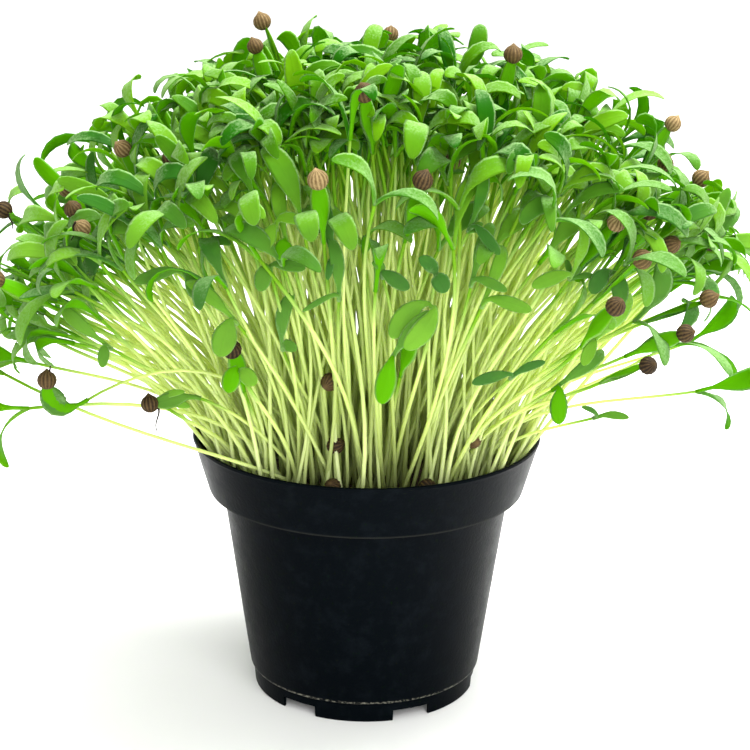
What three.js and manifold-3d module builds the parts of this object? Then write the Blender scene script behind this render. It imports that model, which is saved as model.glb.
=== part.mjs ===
// Coriander microgreens in a round nursery pot. Millimetres, +Z up.
// The pot stands on z = 0 with its axis on Z, and -Y is its front. It holds a plug of growing
// medium, and tufts of seedlings stand in plain holes in the medium. A tuft is one body: its stems
// leave a common root, and each stem carries two seed leaves, spread open or still closed together
// with their tips in the seed husk.
import * as THREE from "three";
import { mergeVertices } from "three/addons/utils/BufferGeometryUtils.js";
import Module from "manifold-3d";

const wasm = await Module();
wasm.setup();

// Driving dimensions
const POT = {
  height: 69,
  rimRadius: 45,
  collarHeight: 14.5,
  collarFootRadius: 41,
  bodyTopRadius: 37.4,
  bodyFootRadius: 30.4,
  skirtHeight: 5.8,
  skirtRadius: 29.6,
  footRadius: 29.2,
  wall: 1,
  floorUnderside: 4.4,
  floorThickness: 1.2,
  sides: 40,
  feet: 6,
  frontFootTurn: -5,
  notchAngle: 22,
  notchHeight: 3,
  drainHoles: 6,
  drainRadius: 3.4,
  drainCircle: 20,
};
const MEDIUM = { top: 61.5, gap: 0.3, sides: 32, rootHoleRadius: 3.3, rootHoleDepth: 12 };
const ROOT = { radius: 2.9, sides: 5, above: 0.6, stemCircle: 1.3, stemSink: 1.6 };
const STEM = { radius: 0.9, rings: 5, startShare: 0.4, endShare: 0.36, mostStartLean: 20 };
const LEAF = {
  shortest: 17,
  longest: 23,
  narrowest: 2.5,
  widest: 3.4,
  petioleHalfWidth: 0.8,
  tipHalfWidth: 0.4,
  sunkHalfWidth: 0.3,
  petioleShare: 0.16,
  curl: 1.7,
  keel: 1.15,
  tipKeel: 0.5,
  sink: 1.2,
  stations: [0, 6, 11, 16, 20],
};
const HUSK = { radius: 2.3, every: 14, sides: 6, rings: 4 };
const CANOPY = {
  radius: 89,
  equator: 86,
  rise: 74,
  radiusPower: 0.85,
  heightPower: 0.8,
  openingPower: 2.5,
  sideOpening: 90,
  frontOpening: 42,
  backOpening: 44,
};
const REACH = { across: 101, deep: 73 };
// Seedlings that stray from the dome, by the points where their stems end.
const STRAYS = [
  { index: 12, crown: [-24, 2, 153], husk: true },
  { index: 109, crown: [-9, -41, 146] },
  { index: 125, crown: [-84, -26, 82] },
  { index: 118, crown: [82, -24, 88] },
];
const SOWING = { tufts: 42, radius: 34.2, perTuft: 3, tries: 300, clearance: 3.1 };

const GOLDEN_ANGLE = Math.PI * (3 - Math.sqrt(5));
const STEM_STEPS = 36;
const LEAF_STEPS = 20;
const UP = new THREE.Vector3(0, 0, 1);
const degrees = THREE.MathUtils.degToRad;
const clamp = THREE.MathUtils.clamp;

const COLOURS = { pot: "#15181b", medium: "#3a2a1c", tuft: "#5f9a2e" };

// Solids

function solidOf(geometry) {
  const bare = new THREE.BufferGeometry();
  bare.setAttribute("position", geometry.getAttribute("position"));
  bare.setIndex(geometry.getIndex());
  const merged = mergeVertices(bare, 1e-4);
  const mesh = new wasm.Mesh({
    numProp: 3,
    vertProperties: merged.attributes.position.array,
    triVerts: new Uint32Array(merged.index.array),
  });
  return new wasm.Manifold(mesh);
}

function meshOf(name, solid, colour, roughness) {
  const { vertProperties, triVerts } = solid.getMesh();
  const geometry = new THREE.BufferGeometry();
  geometry.setAttribute("position", new THREE.BufferAttribute(vertProperties, 3));
  geometry.setIndex(new THREE.BufferAttribute(triVerts, 1));
  geometry.computeVertexNormals();
  const material = new THREE.MeshStandardMaterial({ color: colour, roughness, metalness: 0 });
  const mesh = new THREE.Mesh(geometry, material);
  mesh.name = name;
  return mesh;
}

// A lathed solid about Z, from its profile of [radius, height] points.
function turned(profile, sides) {
  const points = profile.map(([radius, height]) => new THREE.Vector2(radius, height));
  return solidOf(new THREE.LatheGeometry(points, sides).rotateX(Math.PI / 2));
}

// A three-sided rod through its rings. A ring has a point, the direction of its side, the direction
// of its underside, its half width, and the reach of its keel and of its flat top.
function rod(rings) {
  const geometry = new THREE.CylinderGeometry(1, 1, 1, 3, rings.length - 1);
  const corners = geometry.attributes.position;
  const widest = Math.sin((2 * Math.PI) / 3);
  for (let i = 0; i < corners.count; i++) {
    const ring = Math.round((corners.getY(i) + 0.5) * (rings.length - 1));
    const { point, side, under, halfWidth, keel, top } = rings[ring];
    const depth = ((corners.getZ(i) + 0.5) / 1.5) * (keel + top) - top;
    const corner = point.clone().addScaledVector(side, (halfWidth * corners.getX(i)) / widest);
    corner.addScaledVector(under, depth);
    corners.setXYZ(i, corner.x, corner.y, corner.z);
  }
  return solidOf(geometry);
}

// Pot and medium

const collarFoot = POT.height - POT.collarHeight;
const floorTop = POT.floorUnderside + POT.floorThickness;

// The pot's inner radius at a height, between the wall's own corners.
function innerRadius(height) {
  const corners = [
    [floorTop, POT.bodyFootRadius - POT.wall],
    [collarFoot + POT.wall, POT.bodyTopRadius - POT.wall],
    [collarFoot + POT.wall, POT.collarFootRadius - POT.wall],
    [POT.height, POT.rimRadius - POT.wall],
  ];
  const above = height > collarFoot + POT.wall ? 2 : 0;
  const [[lowHeight, lowRadius], [highHeight, highRadius]] = [corners[above], corners[above + 1]];
  return lowRadius + ((highRadius - lowRadius) * (height - lowHeight)) / (highHeight - lowHeight);
}

function potSolid() {
  let pot = turned(
    [
      [0, POT.floorUnderside],
      [POT.skirtRadius - POT.wall, POT.floorUnderside],
      [POT.footRadius - POT.wall, 0],
      [POT.footRadius, 0],
      [POT.skirtRadius, POT.skirtHeight - 0.5],
      [POT.bodyFootRadius, POT.skirtHeight],
      [POT.bodyTopRadius, collarFoot],
      [POT.collarFootRadius, collarFoot],
      [POT.rimRadius, POT.height],
      [POT.rimRadius - POT.wall, POT.height],
      [POT.collarFootRadius - POT.wall, collarFoot + POT.wall],
      [POT.bodyTopRadius - POT.wall, collarFoot + POT.wall],
      [POT.bodyFootRadius - POT.wall, floorTop],
      [0, floorTop],
    ],
    POT.sides,
  );
  const notchWidth = 2 * POT.footRadius * Math.sin(degrees(POT.notchAngle / 2));
  const notchDepth = 8;
  for (let i = 0; i < POT.feet; i++) {
    const turn = degrees(POT.frontFootTurn + (360 / POT.feet) * (i + 0.5));
    const notch = new THREE.BoxGeometry(notchWidth, notchDepth, 2 * POT.notchHeight);
    notch.translate(0, -POT.footRadius, 0).rotateZ(turn);
    pot = pot.subtract(solidOf(notch));
  }
  for (let i = 0; i < POT.drainHoles; i++) {
    const turn = degrees(POT.frontFootTurn + (360 / POT.drainHoles) * i);
    const drain = new THREE.CylinderGeometry(POT.drainRadius, POT.drainRadius, 4 * POT.floorThickness, 10);
    drain.rotateX(Math.PI / 2).translate(0, -POT.drainCircle, floorTop).rotateZ(turn);
    pot = pot.subtract(solidOf(drain));
  }
  return pot;
}

function mediumSolid(tuftPlaces) {
  const { gap, top } = MEDIUM;
  const ledge = collarFoot + POT.wall + gap;
  let medium = turned(
    [
      [0, floorTop + gap],
      [innerRadius(floorTop + gap) - gap, floorTop + gap],
      [innerRadius(collarFoot) - gap, collarFoot],
      [innerRadius(collarFoot) - gap, ledge],
      [POT.collarFootRadius - POT.wall - gap, ledge],
      [innerRadius(top) - gap, top],
      [0, top],
    ],
    MEDIUM.sides,
  );
  for (const { x, y } of tuftPlaces) {
    const hole = new THREE.CylinderGeometry(
      MEDIUM.rootHoleRadius,
      MEDIUM.rootHoleRadius,
      2 * MEDIUM.rootHoleDepth,
      ROOT.sides,
    );
    hole.rotateX(Math.PI / 2).translate(x, y, top);
    medium = medium.subtract(solidOf(hole));
  }
  return medium;
}

// Seedlings

// A stream of numbers from 0 to 1 that a whole number starts.
function stream(seed) {
  let state = (seed * 48271 + 11) % 2147483647;
  const draw = () => (state = (state * 16807) % 2147483647) / 2147483647;
  for (let i = 0; i < 4; i++) draw();
  return draw;
}

// Tufts stand on the sunflower spiral, each in its own equal share of the medium.
function tuftPlace(tuft) {
  const share = Math.sqrt((tuft + 0.5) / SOWING.tufts);
  const azimuth = tuft * GOLDEN_ANGLE;
  const radius = share * SOWING.radius;
  return { share, azimuth, x: radius * Math.cos(azimuth), y: radius * Math.sin(azimuth) };
}

// How far from upright the canopy opens towards an azimuth.
function opening(azimuth) {
  const across = Math.abs(Math.cos(azimuth)) ** CANOPY.openingPower;
  const end = Math.sin(azimuth) < 0 ? CANOPY.frontOpening : CANOPY.backOpening;
  return degrees(CANOPY.sideOpening * across + end * (1 - across));
}

// Where a stem ends: a point of the domed canopy, some way below its top surface.
function crownPoint(share, azimuth, below) {
  const tilt = share * opening(azimuth);
  const radius = (CANOPY.radius - 0.3 * below) * Math.sin(tilt) ** CANOPY.radiusPower;
  const upright = Math.sign(Math.cos(tilt)) * Math.abs(Math.cos(tilt)) ** CANOPY.heightPower;
  const height = CANOPY.equator + (CANOPY.rise - below) * upright;
  return new THREE.Vector3(radius * Math.cos(azimuth), radius * Math.sin(azimuth), height);
}

function leaning(heading, lean) {
  return heading.clone().multiplyScalar(Math.sin(lean)).addScaledVector(UP, Math.cos(lean));
}

// A stem's curve: it leaves the medium nearly upright and leans out more and more to its crown.
function stemCurve(base, crown, draw) {
  const chord = crown.clone().sub(base);
  const length = chord.length();
  const heading = new THREE.Vector3(chord.x, chord.y, 0).normalize();
  const side = new THREE.Vector3(-heading.y, heading.x, 0);
  const lean = Math.acos(clamp(chord.z / length, -1, 1));
  const startLean = Math.min(lean * (0.1 + 0.4 * draw()), degrees(STEM.mostStartLean));
  const endLean = lean * 1.3 + degrees(24) * (draw() - 0.5);
  const leave = base.clone().addScaledVector(leaning(heading, startLean), STEM.startShare * length);
  const arrive = crown.clone().addScaledVector(leaning(heading, endLean), -STEM.endShare * length);
  leave.addScaledVector(side, 0.1 * length * (draw() - 0.5));
  arrive.addScaledVector(side, 0.16 * length * (draw() - 0.5));
  return new THREE.CubicBezierCurve3(base, leave, arrive, crown);
}

// Half of a leaf's width at a share of its length: a thin petiole, then a long rounded blade.
function leafHalfWidth(share, halfWidth) {
  const q = clamp((share - LEAF.petioleShare) / (1 - LEAF.petioleShare), 0, 1);
  const swell = Math.sin((Math.PI / 2) * Math.min(1, q / 0.6)) ** 1.3;
  const blade = halfWidth * swell * Math.max(0, 1 - q ** 4) ** 0.7;
  const floor = share < 0.6 ? LEAF.petioleHalfWidth : LEAF.tipHalfWidth;
  return Math.max(floor, blade);
}

// A leaf's midrib, with its direction and upper side at each step. bend gives the angle between
// the leaf and its stem at a share of the leaf's length.
function leafPath(crown, stemTip, outwards, length, droop, twist, bend) {
  const steps = [];
  const point = crown.clone().addScaledVector(stemTip, -LEAF.sink);
  for (let i = 0; i <= LEAF_STEPS; i++) {
    const share = i / LEAF_STEPS;
    const angle = bend(share);
    const along = stemTip.clone().multiplyScalar(Math.cos(angle)).addScaledVector(outwards, Math.sin(angle));
    along.addScaledVector(UP, -droop * share).normalize();
    const upper = stemTip.clone().multiplyScalar(Math.sin(angle)).addScaledVector(outwards, -Math.cos(angle));
    upper.addScaledVector(along, -upper.dot(along)).normalize().applyAxisAngle(along, twist * share);
    steps.push({ point: point.clone(), along, upper, side: upper.clone().cross(along) });
    point.addScaledVector(along, length / LEAF_STEPS);
  }
  return steps;
}

// One seedling by its draws: its stem's curve, two leaves, and the husk's centre if it has one.
function seedling(place, index, attempt) {
  const draw = stream(index * SOWING.tries + attempt);
  const turn = place.azimuth + (2 * Math.PI * (index % SOWING.perTuft)) / SOWING.perTuft;
  const base = new THREE.Vector3(
    place.x + ROOT.stemCircle * Math.cos(turn),
    place.y + ROOT.stemCircle * Math.sin(turn),
    MEDIUM.top + ROOT.above - ROOT.stemSink,
  );
  const share = clamp(place.share + 0.11 * Math.cos(turn - place.azimuth) + 0.18 * (draw() - 0.5), 0.02, 1.03);
  const spread = degrees(9) / Math.max(0.3, place.share);
  const azimuth = place.azimuth + spread * (Math.sin(turn - place.azimuth) + 1.6 * (draw() - 0.5));
  const stray = STRAYS.find((one) => one.index === index);
  const dome = crownPoint(share, azimuth, 26 * draw() ** 2);
  const crown = stray ? new THREE.Vector3(...stray.crown) : dome;
  const curve = stemCurve(base, crown, draw);
  const stemTip = curve.getTangent(1);
  const level = stemTip.clone().cross(UP).normalize();
  const across = level.clone().cross(stemTip);
  const firstTurn = 2 * Math.PI * draw();
  const capped = stray ? Boolean(stray.husk) : index % HUSK.every === 3;
  const leaves = [0, Math.PI].map((half) => {
    const leafTurn = firstTurn + half + (capped ? 0 : degrees(40) * (draw() - 0.5));
    const outwards = level.clone().multiplyScalar(Math.cos(leafTurn));
    outwards.addScaledVector(across, Math.sin(leafTurn));
    const length = LEAF.shortest + (LEAF.longest - LEAF.shortest) * draw();
    const halfWidth = LEAF.narrowest + (LEAF.widest - LEAF.narrowest) * draw();
    const startBend = degrees(10 + 20 * draw());
    const endBend = degrees(80 + 80 * draw());
    const twist = degrees(50) * (draw() - 0.5);
    const bend = capped
      ? (s) => degrees(30) * Math.cos(Math.PI * s)
      : (s) => startBend + (endBend - startBend) * s ** LEAF.curl;
    const size = capped ? LEAF.shortest : length;
    const path = leafPath(crown, stemTip, outwards, size, capped ? 0.1 : 0.45, capped ? 0 : twist, bend);
    return { path, halfWidth: capped ? LEAF.narrowest : halfWidth };
  });
  const husk = capped ? leaves[0].path[LEAF_STEPS].point.clone().addScaledVector(stemTip, 0.8) : null;
  return { curve, leaves, husk };
}

// Points spread over a seedling, which its neighbours keep clear of.
function markersOf({ curve, leaves, husk }) {
  const markers = [];
  for (let i = 2; i <= STEM_STEPS; i++) markers.push(curve.getPoint(i / STEM_STEPS));
  for (const { path, halfWidth } of leaves) {
    for (let i = 2; i <= LEAF_STEPS; i += 2) {
      const { point, side } = path[i];
      const reach = leafHalfWidth(i / LEAF_STEPS, halfWidth);
      for (const edge of [-reach, 0, reach]) markers.push(point.clone().addScaledVector(side, edge));
    }
  }
  if (husk) {
    for (const step of [[1, 0, 0], [-1, 0, 0], [0, 1, 0], [0, -1, 0], [0, 0, 1], [0, 0, -1]]) {
      markers.push(husk.clone().addScaledVector(new THREE.Vector3(...step), HUSK.radius));
    }
  }
  return markers;
}

// The least distance between two sets of points, or Infinity where their boxes are well apart.
function leastGap(markers, others, otherBox) {
  const near = otherBox.clone().expandByScalar(SOWING.clearance);
  let least = Infinity;
  for (const a of markers) {
    if (!near.containsPoint(a)) continue;
    for (const b of others) least = Math.min(least, a.distanceToSquared(b));
  }
  return Math.sqrt(least);
}

// Whether a seedling's stem passes over the rim and inside the wall.
function clearsPot(curve) {
  const room = STEM.radius + MEDIUM.gap;
  for (let i = 0; i <= STEM_STEPS; i++) {
    const point = curve.getPoint(i / STEM_STEPS);
    const radius = Math.hypot(point.x, point.y);
    const low = point.z < POT.height + room;
    if (low && radius > innerRadius(Math.min(point.z, POT.height)) - room) return false;
  }
  return true;
}

function withinReach(markers) {
  return markers.every((marker) => Math.abs(marker.x) < REACH.across && Math.abs(marker.y) < REACH.deep);
}

// Sows every seedling, the strays first. Each takes its first attempt that keeps clear of the rest,
// so its leaves bend past theirs, or else its widest one.
function sow(places) {
  const placed = [];
  const strays = STRAYS.map((stray) => stray.index);
  const order = [...Array(SOWING.tufts * SOWING.perTuft).keys()].filter((index) => !strays.includes(index));
  for (const index of [...strays, ...order]) {
    const tuft = Math.floor(index / SOWING.perTuft);
    let best = null;
    for (let attempt = 0; attempt < SOWING.tries; attempt++) {
      const one = seedling(places[tuft], index, attempt);
      const markers = markersOf(one);
      if (!clearsPot(one.curve) || !withinReach(markers)) continue;
      let gap = Infinity;
      for (const other of placed) {
        const from = other.tuft === tuft ? STEM_STEPS / 2 : 0;
        gap = Math.min(gap, leastGap(markers.slice(from), other.markers.slice(from), other.box));
      }
      if (!best || gap > best.gap) {
        best = { ...one, tuft, markers, gap, box: new THREE.Box3().setFromPoints(markers) };
      }
      if (gap > SOWING.clearance) break;
    }
    placed.push(best);
  }
  return placed;
}

// A blade is a flat top with the keel of its midrib underneath.
function leafRings({ path, halfWidth }, stations) {
  return stations.map((step) => {
    const { point, upper, side } = path[step];
    const sunk = step === 0;
    return {
      point,
      side,
      under: upper.clone().negate(),
      halfWidth: sunk ? LEAF.sunkHalfWidth : leafHalfWidth(step / LEAF_STEPS, halfWidth),
      keel: sunk || step === LEAF_STEPS ? LEAF.tipKeel : LEAF.keel,
      top: 0,
    };
  });
}

// A stem's rings, from its foot to its tip, with their sides carried down from its first leaf's.
function stemRings(curve, leafSide) {
  const rings = [];
  let side = leafSide.clone();
  for (let ring = STEM.rings - 1; ring >= 0; ring--) {
    const share = ring / (STEM.rings - 1);
    const tangent = curve.getTangent(share);
    side = side.clone().addScaledVector(tangent, -side.dot(tangent)).normalize();
    rings.unshift({
      point: curve.getPoint(share),
      side,
      under: side.clone().cross(tangent),
      halfWidth: STEM.radius * Math.sin((2 * Math.PI) / 3),
      keel: STEM.radius,
      top: STEM.radius / 2,
    });
  }
  return rings;
}

// A seedling's stem runs on into its first leaf, and its second leaf is sunk into the stem's tip.
function seedlingSolid({ curve, leaves, husk }) {
  const [first, second] = leaves;
  const stem = stemRings(curve, first.path[0].side);
  let solid = rod([...stem, ...leafRings(first, LEAF.stations.slice(1))]);
  solid = solid.add(rod(leafRings(second, LEAF.stations)));
  if (husk) {
    const shell = new THREE.SphereGeometry(HUSK.radius, HUSK.sides, HUSK.rings);
    solid = solid.add(solidOf(shell.translate(husk.x, husk.y, husk.z)));
  }
  return solid;
}

function tuftSolid(place, seedlings) {
  const root = new THREE.CylinderGeometry(ROOT.radius, ROOT.radius * 0.5, MEDIUM.rootHoleDepth, ROOT.sides);
  const bottom = MEDIUM.top + ROOT.above - MEDIUM.rootHoleDepth;
  root.rotateX(Math.PI / 2).translate(place.x, place.y, bottom + MEDIUM.rootHoleDepth / 2);
  let tuft = solidOf(root);
  for (const one of seedlings) tuft = tuft.add(seedlingSolid(one));
  return tuft;
}

const places = Array.from({ length: SOWING.tufts }, (_, tuft) => tuftPlace(tuft));
const seedlings = sow(places);
const microgreens = new THREE.Group();
microgreens.add(meshOf("pot", potSolid(), COLOURS.pot, 0.45));
microgreens.add(meshOf("growing_medium", mediumSolid(places), COLOURS.medium, 0.95));
places.forEach((place, tuft) => {
  const own = seedlings.filter((one) => one.tuft === tuft);
  const name = `seedling_tuft_${String(tuft + 1).padStart(2, "0")}`;
  microgreens.add(meshOf(name, tuftSolid(place, own), COLOURS.tuft, 0.6));
});

export default microgreens;
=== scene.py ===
"""Coriander microgreens in a round nursery pot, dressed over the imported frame.

The sowing rule works in millimetres, as the solids do, and meshes are written in metres. Every
seedling of the solids comes back at its own place as a finer one, and more are sown between them.
"""

import logging
import math
from collections.abc import Callable
from dataclasses import dataclass, field
from enum import Enum, IntEnum

import bpy
import numpy as np
from mathutils import Matrix, Vector


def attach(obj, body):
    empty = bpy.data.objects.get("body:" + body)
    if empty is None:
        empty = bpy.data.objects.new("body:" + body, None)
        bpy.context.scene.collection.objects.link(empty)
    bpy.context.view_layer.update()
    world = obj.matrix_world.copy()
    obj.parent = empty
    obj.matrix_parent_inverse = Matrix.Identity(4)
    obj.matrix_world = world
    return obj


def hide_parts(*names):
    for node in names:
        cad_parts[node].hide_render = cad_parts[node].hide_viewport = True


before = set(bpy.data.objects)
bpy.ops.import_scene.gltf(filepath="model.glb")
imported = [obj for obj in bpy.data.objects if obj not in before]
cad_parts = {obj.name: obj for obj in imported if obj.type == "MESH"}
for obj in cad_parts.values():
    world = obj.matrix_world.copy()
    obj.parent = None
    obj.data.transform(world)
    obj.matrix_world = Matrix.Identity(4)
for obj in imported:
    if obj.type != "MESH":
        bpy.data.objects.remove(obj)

LOG = logging.getLogger("microgreens")
MM = 0.001
ROOT_BODY = "root"
POINT_ATTRIBUTES = ("growth", "vigour", "upside", "shade")
GOLDEN_ANGLE = math.pi * (3 - math.sqrt(5))
UP = np.array([0.0, 0.0, 1.0])
FORWARD_AND_UP = np.array([0.0, -1.0, 0.35])
BEHIND_BLADES = np.array([0.0, 2.0, -2.5])


class Stream(IntEnum):
    """Where each group of plants or crumbs starts its streams of numbers."""

    CRUMBS = 77
    PLANTS = 500000
    TRAILING = 600000
    DROPPED = 650000
    HANGING = 710000
    HUSKS = 800000
    BETWEEN = 900000


class Finish(IntEnum):
    """The number of each material on a tuft."""

    STEM = 0
    LEAF = 1
    HUSK = 2


# Small tools


def linear(code: str) -> tuple[float, float, float, float]:
    """Turn a colour from sRGB hex to linear light.

    Args:
        code: the colour, such as "#14181c".

    Returns:
        Linear red, green and blue, and an alpha of 1.
    """
    parts = [int(code[i : i + 2], 16) / 255 for i in (1, 3, 5)]
    light = [c / 12.92 if c <= 0.04045 else ((c + 0.055) / 1.055) ** 2.4 for c in parts]
    return (light[0], light[1], light[2], 1.0)


def add_node(
    tree: bpy.types.NodeTree, kind: str, links: dict | None = None, **settings: object
) -> bpy.types.Node:
    """Add a shader node with its settings and links.

    Args:
        tree: the material's node tree.
        kind: the node's type name.
        links: input name or number to a value, or to the output socket that feeds it.
        **settings: the node's own properties.

    Returns:
        The new node.
    """
    made = tree.nodes.new(kind)
    for name, value in settings.items():
        setattr(made, name, value)
    for name, value in (links or {}).items():
        if isinstance(value, bpy.types.NodeSocket):
            tree.links.new(value, made.inputs[name])
        else:
            made.inputs[name].default_value = value
    return made


def add_ramp(tree: bpy.types.NodeTree, factor: bpy.types.NodeSocket, stops: list) -> bpy.types.NodeSocket:
    """Add a colour ramp.

    Args:
        tree: the material's node tree.
        factor: the socket that runs along the ramp.
        stops: pairs of a place from 0 to 1 and a hex colour.

    Returns:
        The ramp's colour socket.
    """
    ramp = add_node(tree, "ShaderNodeValToRGB", {"Fac": factor})
    elements = ramp.color_ramp.elements
    while len(elements) < len(stops):
        elements.new(0.5)
    for element, (place, code) in zip(elements, stops):
        element.position = place
        element.color = linear(code)
    return ramp.outputs["Color"]


def new_material(name: str) -> tuple[bpy.types.Material, bpy.types.NodeTree]:
    """Start a material with an empty node tree.

    Args:
        name: the material's name.

    Returns:
        The material and its node tree.
    """
    material = bpy.data.materials.new(name)
    material.use_nodes = True
    material.node_tree.nodes.clear()
    return material, material.node_tree


def unit(vectors: np.ndarray) -> np.ndarray:
    """Scale one vector or a row of them to length 1."""
    return vectors / np.linalg.norm(vectors, axis=-1, keepdims=True)


def deselect_all() -> None:
    """Leave edit mode and deselect everything."""
    if bpy.context.object and bpy.context.object.mode != "OBJECT":
        bpy.ops.object.mode_set(mode="OBJECT")
    bpy.ops.object.select_all(action="DESELECT")


def named(name: str) -> bpy.types.Object:
    """Name the active object and its mesh, and return it."""
    piece = bpy.context.object
    piece.name = name
    piece.data.name = name
    return piece


def settle(piece: bpy.types.Object) -> None:
    """Put a piece's place, turn and scale into its mesh."""
    piece.data.transform(piece.matrix_basis)
    piece.matrix_basis = Matrix()


def apply_modifier(piece: bpy.types.Object, kind: str, **settings: object) -> None:
    """Add a modifier to a piece and apply it.

    Args:
        piece: the mesh object.
        kind: the modifier's type.
        **settings: the modifier's own properties.
    """
    modifier = piece.modifiers.new(kind.lower(), kind)
    for name, value in settings.items():
        setattr(modifier, name, value)
    deselect_all()
    bpy.context.view_layer.objects.active = piece
    piece.select_set(True)
    bpy.ops.object.modifier_apply(modifier=modifier.name)


def discard(piece: bpy.types.Object) -> None:
    """Remove a helper object and its mesh."""
    mesh = piece.data
    bpy.data.objects.remove(piece)
    bpy.data.meshes.remove(mesh)


def hand_over(piece: bpy.types.Object, slot: str, *nodes: str) -> None:
    """Let a finished piece ride on the body in place of its solids.

    Args:
        piece: the finished object.
        slot: the record's material slot; not used.
        *nodes: the solids that the piece stands for.
    """
    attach(piece, ROOT_BODY)
    if nodes:
        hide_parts(*nodes)
    stands_for = ", ".join(nodes) or "nothing"
    LOG.info("%s: %d faces, stands for %s", piece.name, len(piece.data.polygons), stands_for)


def shape_of(piece: bpy.types.Object) -> tuple[np.ndarray, list[list[int]]]:
    """Take a modelled pattern's points, and its faces as lists of point numbers, and discard it."""
    points = np.array([v.co[:] for v in piece.data.vertices])
    faces = [list(face.vertices) for face in piece.data.polygons]
    discard(piece)
    return points, faces


def joined(pieces: list[bpy.types.Object]) -> bpy.types.Object:
    """Settle several objects and join them into the first."""
    for piece in pieces:
        settle(piece)
        piece.select_set(True)
    bpy.context.view_layer.objects.active = pieces[0]
    bpy.ops.object.join()
    return pieces[0]


def disc(name: str, sides: int, step: tuple[float, float]) -> bpy.types.Object:
    """Start a turned piece from a disc, in edit mode.

    Args:
        name: the piece's name.
        sides: how many sides it has.
        step: the disc's radius and height, in millimetres.

    Returns:
        The object.
    """
    deselect_all()
    radius, place = step[0] * MM, (0, 0, step[1] * MM)
    bpy.ops.mesh.primitive_circle_add(vertices=sides, radius=radius, fill_type="NGON", location=place)
    piece = named(name)
    bpy.ops.object.mode_set(mode="EDIT")
    return piece


def draw_up(steps: list[tuple[float, float]]) -> None:
    """Extrude the selected ring or face from a profile's first step through all the others.

    Args:
        steps: radii and heights, in millimetres.
    """
    for (radius, height), (next_radius, next_height) in zip(steps, steps[1:]):
        rise = (next_height - height) * MM
        bpy.ops.mesh.extrude_region_move(TRANSFORM_OT_translate={"value": (0, 0, rise)})
        share = next_radius / radius
        bpy.ops.transform.resize(value=(share, share, 1), center_override=(0, 0, next_height * MM))


def close_turned(piece: bpy.types.Object) -> None:
    """Turn a finished shell's faces outwards, leave edit mode, and settle the piece."""
    bpy.ops.mesh.select_all(action="SELECT")
    bpy.ops.mesh.normals_make_consistent(inside=False)
    bpy.ops.object.mode_set(mode="OBJECT")
    settle(piece)


# Finishes


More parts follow.
